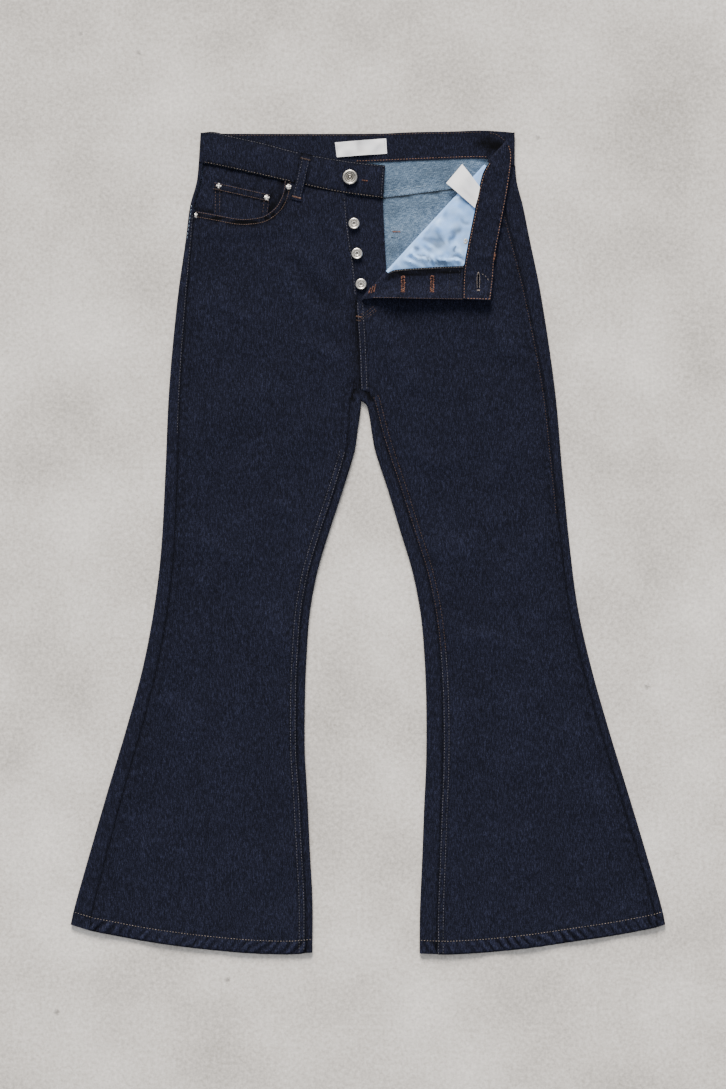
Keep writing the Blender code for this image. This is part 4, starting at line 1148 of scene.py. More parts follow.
def front_right_panel(relief):
    """The right front, with the cut-away mouth of its pocket."""
    side, hem, inner = front_leg_edges(RIGHT)
    mouth = smooth(POCKET_MOUTH)
    side = trimmed(side, high_y=mouth[-1][1] - 3)
    waist = stretch(front_waist(RIGHT), FLY_EDGE[0][0], mouth[0][0])
    fly = smooth(FLY_EDGE)
    centre = smooth(CENTRE_FRONT) - (GAP / 2, 0)
    centre[-1][1] += GAP
    outline = np.vstack((side, hem, inner, centre[::-1], fly[-2:0:-1], waist, mouth[1:]))
    cloth = Cloth()
    zones = fine_zones(RIGHT) + [(mouth, -16, 0), (smooth(CENTRE_FRONT), -14, 0)]
    cloth.patch(outline, relief, fine=zones)
    sewn_piece(cloth, "front_right_panel", DENIM, INDIGO, INSIDE, "indigo_denim",
               (0.40, 1.08))


def left_front_relief():
    """The left front: soft folds, the lapped centre seam, and small creases below the fly."""
    relief = leg_relief(LEFT, front_base(LEFT), 200)
    # Painted light on the folds' ridges and painted shade in their troughs; along the lapped seam a lighter
    # ply, painted shade in its stitch grooves, and painted light and shade on its ripples and on the creases
    # below the fly
    relief.creases(LEFT_FRONT_CREASES, rise=2.6, tone=0.22)
    centre = smooth(CENTRE_FRONT)
    relief.ply(centre, -2, 9, 0.7, soft=2.0, tone=0.08).groove(centre, 4, 1.6, 0.25, tone=-0.3)
    relief.pucker(centre, 0, 9, 8, 0.12, tone=0.2).groove(centre, 10, 1.6, 0.2, tone=-0.4)
    relief.creases(FLY_FOOT_CREASES, tone=0.4)
    return relief


def front_left_panel(relief):
    """The left front, its fly corner turned back over it along a slanted fold."""
    side, hem, inner = front_leg_edges(LEFT)
    axis = fold_axis(8, 260, FOLD_INSET)
    side = trimmed(side, high_y=height_at(LEFT_WAIST, side[0][0]) - GAP)
    centre = smooth(CENTRE_FRONT) - (GAP, 0)
    centre[-1][1] += GAP
    cloth = Cloth()
    outline = np.vstack((side, hem, inner, centre[::-1], axis))
    zones = fine_zones(LEFT) + [(smooth(CENTRE_FRONT), 0, 14)]
    cloth.patch(outline, pinned(relief, axis), fine=zones)
    # The fold shows the fly's dark doubled edge up to here, and the denim's pale inside above
    fly_end = 52
    dark = np.linalg.norm(axis - axis[0], axis=1) < fly_end
    cloth.turn(axis[dark], 1, FRONT_Z, FLAP_Z, outside_bulges=False, lined=True)
    cloth.turn(axis[np.count_nonzero(dark) - 1:], 1, FRONT_Z, FLAP_Z, outside_bulges=False)
    waist = smooth(FLAP_WAIST) - (GAP, 0)
    fly = smooth(FLAP_FLY_EDGE)
    fly[0] = axis[0]
    fly[-1][0] -= GAP
    cloth.patch(np.vstack((axis, waist[1:-1], fly[:0:-1])), curled(FLAP_Z), up=False, lined=True)
    sewn_piece(cloth, "front_left_panel", DENIM, INDIGO, INSIDE, "indigo_denim",
               (0.46, 1.10))


# Creases of the waistband's right end and of its turned-back end, as (from, to, width, rise)
RIGHT_BAND_CREASES = [
    ((-60, 528), (-40, 486), 5, 0.7), ((-48, 522), (-66, 490), 4, -0.5), ((-78, 530), (-72, 492), 5, 0.5),
    ((-160, 548), (-130, 508), 9, 0.4), ((-215, 556), (-190, 520), 9, 0.4), ((0, 520), (10, 478), 6, 0.35)]
FLAP_BAND_CREASES = [
    ((152, 472), (184, 454), 7, 0.45), ((144, 425), (178, 418), 6, -0.4),
    ((140, 398), (174, 386), 6, 0.5), ((164, 520), (192, 505), 8, 0.45)]


def right_band_relief():
    """The waistband's right end: grooves with painted shade along its rows of stitches, painted shade beside
    the belt loop, and creases lighter on their ridges and darker in their troughs.
    """
    relief = Relief(level(FRONT_BAND_Z), 310)
    relief.rumple(42, 0.18).rumple(16, 0.07).creases(RIGHT_BAND_CREASES, rise=2.4, tone=0.3)
    waist = smooth(RIGHT_WAIST)
    relief.groove(waist, 3.2, 1.3, 0.5, tone=-0.4).groove(waist, 0.3, 1.3, 0.5, tone=-0.6)
    relief.pucker(waist, 0, 8, 9, 0.3, tone=0.35).groove(waist, -0.6, 1.2, 0.3, tone=-0.4)
    top = smooth(RIGHT_BAND_TOP)
    relief.groove(top, -3.0, 1.3, 0.4, tone=-0.3).groove(top, -0.3, 1.2, 0.4)
    end = path((20, 477), (22.5, 518))
    relief.groove(end, 3.4, 1.2, 0.4, tone=-0.4)
    loop = path((-85.4, 531), (-98, 476))
    for offset in (-LOOP_WIDE / 2 - 0.8, LOOP_WIDE / 2 + 0.8):
        relief.groove(loop, offset, 1.6, 0.0, tone=-0.8)
    return relief


def flap_band_relief():
    """The waistband's turned-back end, puckered along both its rows of stitches, with painted light and shade
    on the puckers and painted shade in the grooves beside the rows.
    """
    relief = Relief(curled(FLAP_BAND_Z), 330)
    relief.rumple(42, 0.18).rumple(16, 0.07)
    top = smooth(FLAP_BAND_TOP)
    waist = smooth(FLAP_WAIST)
    relief.groove(top, -3.2, 1.4, 0.4, tone=-0.4).groove(waist, 3.4, 1.4, 0.4, tone=-0.4)
    relief.pucker(waist, 0, 9, 10, 0.3, tone=0.2).pucker(top, -8, 0, 12, 0.35, tone=0.2)
    relief.creases(FLAP_BAND_CREASES, rise=2)
    return relief


def back_band_relief():
    """The waistband's back: painted shade along its rim and where it runs into the fold, and a painted
    highlight on the roll at its corner.
    """
    relief = Relief(level(BACK_BAND_Z), 300)
    rim = path((-230, 562), (202, 562))
    relief.groove(rim, 0, 2.0, 0.0, tone=-0.25)
    relief.crease((140, 553), (196, 549), 8, 0.0, tone=-0.95)
    relief.crease((156, 531), (196, 553), 5, 0.0, tone=-0.7)
    relief.crease((182, 566), (199, 551), 3, 0.0, tone=0.5)
    return relief


def waistband():
    """One strip: right end, round the back, round the left side and back over the flap."""
    right_axis = waistband_axis(RIGHT)
    left_axis = waistband_axis(LEFT)
    diagonal = fold_axis(264.5, 303, BAND_FOLD_INSET)
    top = smooth(BACK_BAND_TOP)
    top = top[(top[:, 0] > right_axis[0][0] + 2) & (top[:, 0] < left_axis[0][0] - 2)]
    right_top = smooth(RIGHT_BAND_TOP)
    right_top = right_top[right_top[:, 0] > right_axis[0][0] + 2]
    cloth = Cloth()
    back = np.vstack((top, left_axis, back_waist()[-2:0:-1], right_axis[::-1]))
    cloth.patch(back, back_band_relief(), up=False)
    cloth.turn(right_axis, -1, BACK_BAND_Z, FRONT_BAND_Z)
    cloth.turn(left_axis, 1, BACK_BAND_Z, FRONT_BAND_Z)
    over = right_band_relief()
    right_front = np.vstack((right_axis[::-1], right_top, front_waist(RIGHT)[:0:-1]))
    cloth.patch(right_front, pinned(over, right_axis), spacing=SEWN * 1.3)
    left_front = np.vstack((diagonal, left_axis, front_waist(LEFT)[1:]))
    cloth.patch(left_front, level(FRONT_BAND_Z))
    cloth.turn(diagonal, 1, FRONT_BAND_Z, FLAP_BAND_Z, outside_bulges=False)
    flap = flap_band_relief()
    turned_back = np.vstack((diagonal, smooth(FLAP_BAND_TOP)[1:], smooth(FLAP_WAIST)[:0:-1]))
    cloth.patch(turned_back, pinned(flap, diagonal), up=False, spacing=SEWN * 1.3,
                holes=[slit(BAND_SLIT, BAND_SLIT_LONG, SLIT_WIDE)])
    sewn_piece(cloth, "waistband", TWO_PLY, INDIGO, INDIGO, "indigo_denim", (1.0, 0.05))
    return over, flap


def right_pocket_facing():
    """The denim behind the right pocket's mouth."""
    side = smooth([(r.fold + r.inset, r.y) for r in RIGHT_SIDE[:4]]) + (2 * GAP, 0)
    top_y = height_at(front_waist(RIGHT), side[0][0]) - GAP
    side = trimmed(side, low_y=FACING_HIDDEN_EDGE[0][1] + 9, high_y=top_y)
    hidden = smooth(FACING_HIDDEN_EDGE)
    waist = stretch(front_waist(RIGHT), hidden[-1][0], side[0][0])
    relief = Relief(level(FACING_Z), 400)
    relief.rumple(26, 0.25)
    # Painted shade under the mouth's edge, in the gap beside the coin pocket, above the coin pocket and under
    # the waistband
    relief.groove(smooth(POCKET_MOUTH), -2.0, 4.0, 0.0, tone=-0.8)
    beside_coin = path((-133, 483), (-136, 452))
    relief.groove(beside_coin, 2.0, 2.6, 0.0, tone=-0.9)
    above_coin = path((-213, 499), (-134, 481.5))
    relief.groove(above_coin, 0.8, 1.4, 0.0, tone=-0.6)
    relief.groove(smooth(RIGHT_WAIST), -1.2, 1.5, 0.2, tone=-0.6)
    cloth = Cloth()
    cloth.patch(np.vstack((side, hidden[:-1], waist[:-1])), relief)
    sewn_piece(cloth, "right_pocket_facing", FACING, INDIGO, INSIDE, "indigo_denim", (0.15, 0.115))


def coin_pocket():
    """The small pocket on the facing, with its turned and stitched top."""
    corners = [np.array(p, float) for p in COIN_POCKET]
    relief = Relief(level(COIN_Z), 420)
    relief.rumple(20, 0.12)
    top = straight(corners[0], corners[1])
    # A painted highlight on the top edge, painted shade between and below the top's rows and along the side
    # rows, a slightly lighter top band, and painted light and shade on its ripples
    relief.groove(top, -0.2, 0.9, 0.0, tone=0.5).groove(top, -3.4, 1.1, 0.2, tone=-0.5)
    relief.groove(top, -7.4, 1.1, 0.2, tone=-0.5).groove(top, -11.4, 1.4, 0.3, tone=-0.8)
    relief.ply(top, -10, 0, 0.5, soft=1.5, tone=0.1).pucker(top, -9, -2, 7, 0.2, tone=0.3)
    for x in (-207, -201, -146, -140):
        relief.groove(path((x, 484), (x - 1, 434)), 0, 1.2, 0.2, tone=-0.45)
    cloth = Cloth()
    cloth.patch(path(*corners, corners[0])[:-1], relief, spacing=SEWN)
    sewn_piece(cloth, "coin_pocket", FACING, INDIGO, INSIDE, "indigo_denim", (0.08, 0.065))
    return relief


def fly_shield():
    """The button stand of the right front, which runs on under the left one."""
    hidden = smooth(STAND_HIDDEN_EDGE)
    edge = smooth(STAND_EDGE)
    waist = stretch(front_waist(RIGHT), hidden[0][0], edge[0][0])
    relief = Relief(level(STAND_Z), 440)
    relief.rumple(30, 0.2).rumple(12, 0.06)
    # Faint painted shade in the stitch groove along the stand's edge
    relief.groove(edge, -2.5, 1.4, 0.2, tone=-0.1)
    cloth = Cloth()
    under_front = [(22, 345), (0, 320), (-14, 314), (-22, 322)]
    cloth.patch(np.vstack((hidden[:0:-1], waist, edge[1:], under_front)), relief, spacing=SEWN * 1.3)
    sewn_piece(cloth, "fly_shield", STAND_PLY, INDIGO, INDIGO, "indigo_denim", (0.07, 0.15))


def fly_facing():
    """The buttonhole facing along the flap's fly edge."""
    axis = fold_axis(10, 58, FOLD_INSET)
    inner = smooth(FLAP_FACING_EDGE)
    fly = smooth(FLAP_FLY_EDGE)
    fly[-1][0] -= 4 * GAP
    relief = Relief(curled(FLAP_FACING_Z), 460)
    relief.rumple(26, 0.22).rumple(11, 0.07)
    # Painted shade along the inner edge, where the pocket bag's edge lies over it, and in the stitch grooves
    relief.ply(inner, -8, 0, 0.5, soft=1.5, tone=-0.6).groove(inner, -8.6, 1.4, 0.35, tone=-0.9)
    relief.groove(inner, -3.5, 1.0, 0.3, tone=-0.4)
    cloth = Cloth()
    holes = [slit(middle, SLIT_LONG, SLIT_WIDE) for middle in FLAP_SLITS]
    cloth.patch(np.vstack((axis, inner[1:], fly[:0:-1])), pinned(relief, axis), spacing=SEWN * 1.2,
                holes=holes)
    cloth.turn(axis, 1, UNDER_FACING_Z, FLAP_FACING_Z)
    under = axis + FOLD_INTO * 12
    cloth.patch(np.vstack((axis, under[::-1])), level(UNDER_FACING_Z), up=False)
    sewn_piece(cloth, "fly_facing", FACING, INDIGO, INDIGO, "indigo_denim", (0.17, 0.06))
    return relief


# The pocket bag's rounded folds as (from, to, width, rise), then its sharp folds in painted shade, the last
# of them the care label's painted shadow, and its ridges with painted highlights, as (from, to, width, tone)
BAG_FOLDS = [
    ((98, 468), (90, 425), 4, 1.1), ((74, 444), (116, 402), 9, -0.6), ((60, 425), (95, 398), 6, 1.0),
    ((108, 455), (102, 400), 7, 0.9), ((120, 428), (98, 388), 5, 1.1), ((130, 440), (110, 405), 5, -0.6),
    ((52, 402), (75, 386), 3.5, 1.0), ((66, 398), (88, 383), 3.0, 1.1), ((84, 396), (98, 381), 3.0, 1.0),
    ((45, 392), (70, 379), 2.6, 0.9), ((92, 390), (118, 384), 3.0, 1.1), ((110, 392), (130, 386), 2.6, 0.9),
    ((122, 404), (132, 390), 2.8, 0.8), ((116, 470), (130, 442), 6, 0.6), ((62, 412), (52, 388), 2.6, 0.7)]
BAG_FOLDS_IN_PAINTED_SHADE = [
    ((64, 430), (110, 400), 5.5, -0.8), ((104, 472), (108, 436), 2.6, -0.4),
    ((90, 431), (110, 405), 3.4, -0.5), ((124, 445), (142, 435), 2.2, -0.5),
    ((130, 437), (110, 416), 3.6, -0.6), ((113, 424), (111, 404), 1.6, -0.4),
    ((121, 410), (117, 398), 1.5, -1.3), ((60, 412), (70, 399), 2.8, -0.7),
    ((64, 396), (80, 394), 1.6, -0.9), ((77, 397), (84, 384), 1.5, -1.0),
    ((82, 397), (90, 384), 1.5, -0.9), ((86, 386), (116, 385), 2.6, -1.2),
    ((108, 393), (132, 393), 1.5, -0.9), ((115, 482), (150, 458), 4.0, -0.7)]
BAG_RIDGES_WITH_PAINTED_HIGHLIGHTS = [
    ((58, 425), (92, 462), 4.0, 0.35), ((62, 398), (104, 394), 3.0, 0.5), ((104, 396), (116, 388), 1.6, 0.8),
    ((120, 430), (126, 402), 4.0, 0.4), ((94, 446), (100, 428), 4.0, 0.3), ((112, 390), (132, 388), 1.5, 0.7)]


def bag_relief():
    """Pocketing: puffed up and crumpled, with tight wrinkles where its lower edge is caught."""
    rim = np.vstack((smooth(FLAP_FACING_EDGE), smooth(FLAP_WAIST)[::-1]))
    puff = 1.8

    def puffed(x, y):
        off, _ = measure(x, y, rim, 40)
        return FLAP_COTTON_Z + puff * ease(np.abs(off) / 12) * ease(np.abs(from_fold(x, y)) / 14)
    relief = Relief(puffed, 480)
    relief.rumple(34, 0.35).rumple(14, 0.15)
    # The rounded folds: painted light on their ridges and painted shade in their dents
    for a, b, width, rise in BAG_FOLDS:
        relief.crease(a, b, width, rise * 2.8, tone=0.3 if rise > 0 else -0.3)
    # Sharp dents in painted shade, then ridges with painted highlights
    for a, b, width, tone in BAG_FOLDS_IN_PAINTED_SHADE:
        relief.crease(a, b, width * 1.15, -0.9, tone=1.6 * tone)
    for a, b, width, tone in BAG_RIDGES_WITH_PAINTED_HIGHLIGHTS:
        relief.crease(a, b, width, 0.8, tone=tone)
    # Tight wrinkles with painted light and shade, and a painted shadow along the facing's edge
    edge = smooth(FLAP_FACING_EDGE)
    relief.pucker(edge, 1, 13, 11, 0.7, slant=0.9, tone=0.45)
    relief.pucker(edge, 6, 30, 17, 0.6, slant=0.7, tone=0.25)
    relief.groove(edge, 0.5, 2.0, 0.0, tone=-0.7)
    return relief


def left_pocket_bag():
    """Pocket cotton on the inside of the flap, which runs round the fold."""
    axis = fold_axis(59, 258, FOLD_INSET)
    waist = smooth(FLAP_WAIST) - (3 * GAP, 0)
    lower = smooth(FLAP_FACING_EDGE) + (0, 2 * GAP)
    waist = np.array([p for p in waist if lower[-1][1] + 2 < p[1] < axis[-1][1] - 2])
    cloth = Cloth()
    cloth.patch(np.vstack((axis, waist, lower[:0:-1])), pinned(bag_relief(), axis), spacing=SEWN * 0.8)
    cloth.turn(axis, 1, UNDER_COTTON_Z, FLAP_COTTON_Z)
    under = axis + FOLD_INTO * 22
    cloth.patch(np.vstack((axis, under[::-1])), level(UNDER_COTTON_Z), up=False)
    sewn_piece(cloth, "left_pocket_bag", COTTON, POCKETING, POCKETING, "pocket_cotton", (0.24, 0.17))


def strap(name, top, foot, height):
    """A belt loop: a straight strap between two places."""
    top = np.array(top, float)
    foot = np.array(foot, float)
    along = (foot - top) / math.dist(top, foot)
    sideways = np.array((-along[1], along[0])) * LOOP_WIDE / 2
    left = straight(top + sideways, foot + sideways, SEWN)
    right = straight(top - sideways, foot - sideways, SEWN)
    cloth = Cloth()
    cloth.patch(np.vstack((left, right[::-1])), height, spacing=SEWN)
    sewn_piece(cloth, name, DENIM, INDIGO, INDIGO, "indigo_denim", (0.0125, 0.066))


def loop_relief():
    """The right front loop: it steps up from the panel on to the waistband, raised along its middle, where a
    painted highlight runs.
    """
    over_band = FRONT_BAND_Z + (TWO_PLY + DENIM) / 2 + GAP
    over_panel = FRONT_Z + DENIM + GAP
    waist = smooth(RIGHT_WAIST)

    def stepped(x, y):
        return over_panel + (over_band - over_panel) * ease((y - height_at(waist, x) + 12) / 10)
    relief = Relief(stepped, 500)
    relief.groove(path(*FRONT_LOOP), 0, 3.0, -0.35, tone=0.15)
    return relief


def belt_loops():
    """The five loops: one in sight, one under the flap and three underneath."""
    front = loop_relief()
    strap("belt_loop_front_right", *FRONT_LOOP, front)
    strap("belt_loop_front_left", *HIDDEN_LOOP, level(FLAP_BAND_Z - (TWO_PLY + DENIM) / 2 - GAP))
    for x, name in BACK_LOOPS:
        strap(f"belt_loop_{name}", (x, 560), (x, 505), level(BACK_Z))
    return front


def labels():
    """The bare tab inside the waistband, and the bare one on the flap."""
    resting = BACK_BAND_Z + (TWO_PLY + LABEL) / 2 + GAP
    arch, long = 2.0, 71
    wavy = Relief(lambda x, y: resting + arch * np.sin(math.pi * (x - WAIST_LABEL[0][0]) / long) ** 2, 520)
    wavy.rumple(17, 0.4)
    # Creases across the waist label, with painted shade along each, deeper in the troughs
    waves = (((-30, 534), (-24, 556), 4, 1.0), ((-8, 532), (-14, 558), 5, -0.9),
             ((8, 534), (14, 558), 4, 0.9))
    for a, b, width, rise in waves:
        wavy.crease(a, b, width, rise, tone=0.5 * min(rise, 0.0) - 0.1)
    on_flap = FLAP_COTTON_Z + (COTTON + LABEL) / 2 + GAP
    lift = 2.2

    def droop(x, y):
        return on_flap + lift - 2 * lift * ease((-from_fold(x, y) - 2) / 24)
    bent = Relief(droop, 530)
    bent.rumple(24, 0.1)
    # Painted shade along two creases of the care label
    bent.crease((126, 492), (152, 466), 3.0, 0.0, tone=-0.3)
    bent.crease((134, 506), (146, 484), 4.0, 0.0, tone=-0.15)
    for name, corners, relief, size, under in (
            ("waist_label", WAIST_LABEL, wavy, (0.074, 0.022), "waistband"),
            ("care_label", CARE_LABEL, bent, (0.054, 0.036), "left_pocket_bag")):
        cloth = Cloth()
        cloth.patch(path(*corners, corners[0], step=SEWN)[:-1], relief, spacing=SEWN)
        sewn_piece(cloth, name, LABEL, TAPE, TAPE, "woven_tab", size)
    return wavy


# Sewing

class Sewing:
    """Stitches of one thread, joined into one piece."""

    def __init__(self, name, material):
        self.name = name
        self.material = material
        self.points = []
        self.faces = []
        self.count = 0

    def stitch(self, centres, along, length, width, z, tall=0.55):
        """Flat-bellied spindles of thread that lie along their directions."""
        centres = np.asarray(centres, float)
        along = np.asarray(along, float)
        along /= np.maximum(np.linalg.norm(along, axis=1), 1e-9)[:, None]
        across = np.column_stack((-along[:, 1], along[:, 0]))
        z = np.broadcast_to(z, len(centres))
        ring = []
        for share, size in ((-0.5, 0.0), (-0.34, 0.8), (0.0, 1.0), (0.34, 0.8), (0.5, 0.0)):
            middle = centres + along * (share * length)
            if size == 0.0:
                ring.append([np.column_stack((middle, z - 0.25 * tall))])
                continue
            corners = []
            for side, lift in ((1, 0.0), (0, 1.0), (-1, 0.0), (0, -0.7)):
                spot = middle + across * (side * size * width / 2)
                corners.append(np.column_stack((spot, z + lift * size * tall * 0.6)))
            ring.append(corners)
        number = len(centres)
        layout = [1, 4, 4, 4, 1]
        starts = np.cumsum([0] + layout)
        total = starts[-1]
        points = np.empty((number, total, 3))
        for start, corners in zip(starts, ring):
            for k, corner in enumerate(corners):
                points[:, start + k] = corner
        faces = []
        for k in range(4):
            n = (k + 1) % 4
            faces.append((0, 1 + n, 1 + k))
            faces.append((13, 9 + k, 9 + n))
            for first in (1, 5):
                faces.append((first + k, first + n, first + 4 + n))
                faces.append((first + k, first + 4 + n, first + 4 + k))
        faces = np.array(faces)
        offsets = (np.arange(number) * total)[:, None, None]
        self.points.append(points.reshape(-1, 3))
        self.faces.append((faces[None] + offsets).reshape(-1, 3) + self.count)
        self.count += number * total

    def run(self, curve, surface, wall, pitch=STITCH, length=2.9, width=0.85, offset=0.0, gaps=None,
            loose=0.0):
        """A row of stitches along a line, lying on a surface, the loose ones a little askew."""
        curve = beside(curve, offset) if offset else np.asarray(curve, float)
        steps = np.linalg.norm(np.diff(curve, axis=0), axis=1)
        travelled = np.concatenate(((0.0,), np.cumsum(steps)))
        count = max(1, int(travelled[-1] / pitch))
        at = (np.arange(count) + 0.5) * travelled[-1] / count
        x = np.interp(at, travelled, curve[:, 0])
        y = np.interp(at, travelled, curve[:, 1])
        ahead, behind = (np.column_stack((np.interp(at + step, travelled, curve[:, 0]),
                                          np.interp(at + step, travelled, curve[:, 1]))) for step in (1, -1))
        askew = np.random.default_rng(count).normal(0.0, 0.6 * loose, (count, 2))
        z = surface(x, y) + wall / 2 + 0.12
        keep = np.ones(count, bool) if gaps is None else ~gaps(x, y)
        if keep.any():
            self.stitch(np.column_stack((x, y))[keep], (ahead - behind + askew)[keep], length, width, z[keep])

    def tack(self, a, b, wide, surface, wall, width=0.8):
        """A bar tack: close stitches across a short line."""
        line = straight(a, b, step=0.9)
        run = line[-1] - line[0]
        across = np.tile((-run[1], run[0]), (len(line), 1))
        across[::2] += 0.25 * run
        across[1::2] -= 0.25 * run
        z = surface(line[:, 0], line[:, 1]) + wall / 2 + 0.3
        self.stitch(line, across, wide, width, z, tall=0.8)

    def buttonhole(self, middle, long, wide, surface, wall, seed):
        """Close stitches round a slit, a little ragged, with an eye at its upper end."""
        bite = 2.0
        width = 0.8
        rng = np.random.default_rng(seed)
        x, y = middle
        rows = np.arange(y - long / 2, y + long / 2, 0.85)
        for side in (-1, 1):
            line = np.column_stack((np.full(len(rows), x + side * (wide / 2 + bite / 2 - 0.35)), rows))
            line += rng.normal(0, 0.5, line.shape)
            z = surface(line[:, 0], line[:, 1]) + wall / 2 + 0.25
            slope = np.column_stack((np.ones(len(rows)), 0.15 * side + rng.normal(0, 0.45, len(rows))))
            self.stitch(line, slope, bite, width, z, tall=0.8)
        for end, turn in ((-1, math.pi), (1, 0.0)):
            angles = turn + np.linspace(0.0, math.pi, 9)
            reach = wide * (0.75 if end < 0 else 1.0)
            spots = np.column_stack((x + np.cos(angles) * reach,
                                     y + end * long / 2 + np.abs(np.sin(angles)) * end * reach))
            z = surface(spots[:, 0], spots[:, 1]) + wall / 2 + 0.25
            outward = spots - (x, y + end * long / 2) + rng.normal(0, 0.2, spots.shape)
            self.stitch(spots, outward, bite, width, z, tall=0.8)

    def finish(self):
        """Make one piece of all the stitches."""
        piece = new_piece(self.name, np.vstack(self.points), np.vstack(self.faces).tolist(), self.material)
        rides(piece, "indigo_denim")


# The sewing of each thread, and the surfaces that it lies on
Threads = namedtuple("Threads", "copper brown pale grey orange navy blue")
Surfaces = namedtuple("Surfaces", "right_front left_front band flap_band coin fly_facing loop waist_label")


def top_of(leg, relief):
    """The surface of a front panel, with the back's strip beside it."""
    def height(x, y):
        past_side = np.abs(x) > np.abs(seam_at(leg, True, y))
        past_inseam = (y < CROTCH_Y) & (leg.side_sign * x < leg.side_sign * seam_at(leg, False, y))
        return np.where(past_side | past_inseam, FRONT_Z, relief(x, y))
    return height


def leg_sewing(threads, surfaces):
    """Hems, inseams and side seams."""
    for leg, relief in ((RIGHT, surfaces.right_front), (LEFT, surfaces.left_front)):
        surface = top_of(leg, relief)
        threads.pale.run(smooth(leg.hem), surface, DENIM, offset=into_leg(leg) * HEM_STITCH, length=2.3,
                         width=0.6, loose=0.25)
        seam = trimmed(ends_on_hem(leg, inseam(leg)), high_y=CROTCH_Y - 4)
        upper, upper_end = (threads.brown, 200) if leg is LEFT else (threads.grey, 125)
        for offset in (2.4, 8.8):
            upper.run(trimmed(seam, low_y=-150, high_y=upper_end), surface, DENIM,
                      offset=leg.side_sign * offset, width=0.7)
            threads.grey.run(trimmed(seam, high_y=-150), surface, DENIM, offset=leg.side_sign * offset,
                             width=0.8)

    strip = level(FRONT_Z)
    right_side = trimmed(side_seam(RIGHT), low_y=150, high_y=452)
    threads.grey.run(right_side, strip, DENIM, offset=-2.2, width=0.6)
    left_side = trimmed(side_seam(LEFT), low_y=40, high_y=450)
    threads.brown.run(left_side, top_of(LEFT, surfaces.left_front), DENIM, offset=-2.4, length=2.2, width=0.7)
    loose_end = path((-242.5, 466), (-249.3, 417.5))
    threads.blue.run(loose_end, strip, DENIM, pitch=5, length=4, width=0.5)


def right_band_sewing(threads, band):
    """The rows of the waistband's right end, which stop at the belt loop."""
    threads.pale.run(smooth(RIGHT_WAIST)[2:], band, TWO_PLY, offset=1.5, length=2.3, width=0.5, loose=0.2,
                     gaps=lambda x, y: (x > -106) & (x < -86))
    threads.grey.run(smooth(RIGHT_BAND_TOP)[3:], band, TWO_PLY, offset=-1.6, width=0.7,
                     gaps=lambda x, y: (x > -96) & (x < -78))
    end = path((18.2, 478), (20.8, 515))
    threads.grey.run(end, band, TWO_PLY, width=0.7)
    threads.orange.tack((-8, 499), (-1, 498), 2.0, band, TWO_PLY)


def back_band_sewing(threads):
    """The rows that show inside the waistband's back, up to where it runs into the fold."""
    inside_band = level(BACK_BAND_Z)
    threads.brown.run(smooth(BACK_BAND_TOP)[1:-12], inside_band, TWO_PLY, offset=-2.2, width=0.75)
    into_fold = smooth([(167, 564.6), (177, 562), (184, 557.5), (188.5, 553.5)])
    threads.brown.run(into_fold, inside_band, TWO_PLY, width=0.8)
    threads.copper.run(smooth(BACK_WAIST), inside_band, TWO_PLY, offset=2.4, width=0.75,
                       gaps=lambda x, y: (x < -18) | (x > 164))


def flap_band_sewing(threads, flap_band):
    """The rows round the waistband's turned-back end."""
    threads.copper.run(smooth(FLAP_WAIST), flap_band, TWO_PLY, offset=1.5, width=1.05, loose=0.25)
    threads.copper.run(smooth(FLAP_BAND_TOP)[1:], flap_band, TWO_PLY, offset=-1.3, width=1.05, loose=0.25)
    end = path((131.5, 335.9), (168, 334.6))
    threads.copper.run(end, flap_band, TWO_PLY, width=1.0)
    threads.orange.tack((174.5, 397), (173, 389), 3.0, flap_band, TWO_PLY)
    pulled = smooth([(155.5, 370.5), (161, 367), (166.5, 360)])
    threads.pale.run(pulled, flap_band, TWO_PLY, width=0.6)


def pocket_sewing(threads, surfaces):
    """Two rows round the pocket's mouth, and two on the top and each side of the coin pocket."""
    for offset in (1.3, 7.9):
        threads.brown.run(smooth(POCKET_MOUTH), surfaces.right_front, DENIM, offset=offset, pitch=3.2,
                          length=3.0, width=0.85)
    for offset in (-1.5, -9.5):
        threads.brown.run(straight(COIN_POCKET[0], COIN_POCKET[1]), surfaces.coin, FACING, offset=offset,
                          pitch=3.2, length=3.0, width=0.8)
    for inset in (1.6, 7.6):
        for edge in (path((-211.5 + inset, 493), (-211.8 + inset, 454)),
                     path((-134.6 - inset, 476), (-137.4 - inset, 454))):
            threads.brown.run(edge, surfaces.coin, FACING, width=0.7)


def fly_sewing(threads, surfaces):
    """The fly's edge, the centre front, and the tacks and the curved rows at the fly's foot."""
    edge_row = smooth([(-32.7, 475), (-30.6, 449), (-27.1, 419), (-21.5, 383.5), (-17.5, 341)])
    threads.grey.run(edge_row, surfaces.right_front, DENIM, width=0.75)
    for offset in (0.9, 7.6):
        threads.grey.run(smooth(CENTRE_FRONT), surfaces.left_front, DENIM, offset=offset, width=0.75)
    threads.copper.tack((-16, 312), (-9.5, 310.5), 2.6, surfaces.left_front, DENIM, width=0.5)
    threads.brown.tack((-16, 306.5), (-10, 305.5), 2.0, surfaces.left_front, DENIM, width=0.5)
    j_seam = smooth([(-10, 308), (-2, 309.5), (5.5, 315), (12.5, 320.5)])
    for offset in (0, 3, 7):
        threads.brown.run(j_seam, surfaces.left_front, DENIM, offset=offset, length=3.4, width=0.6)


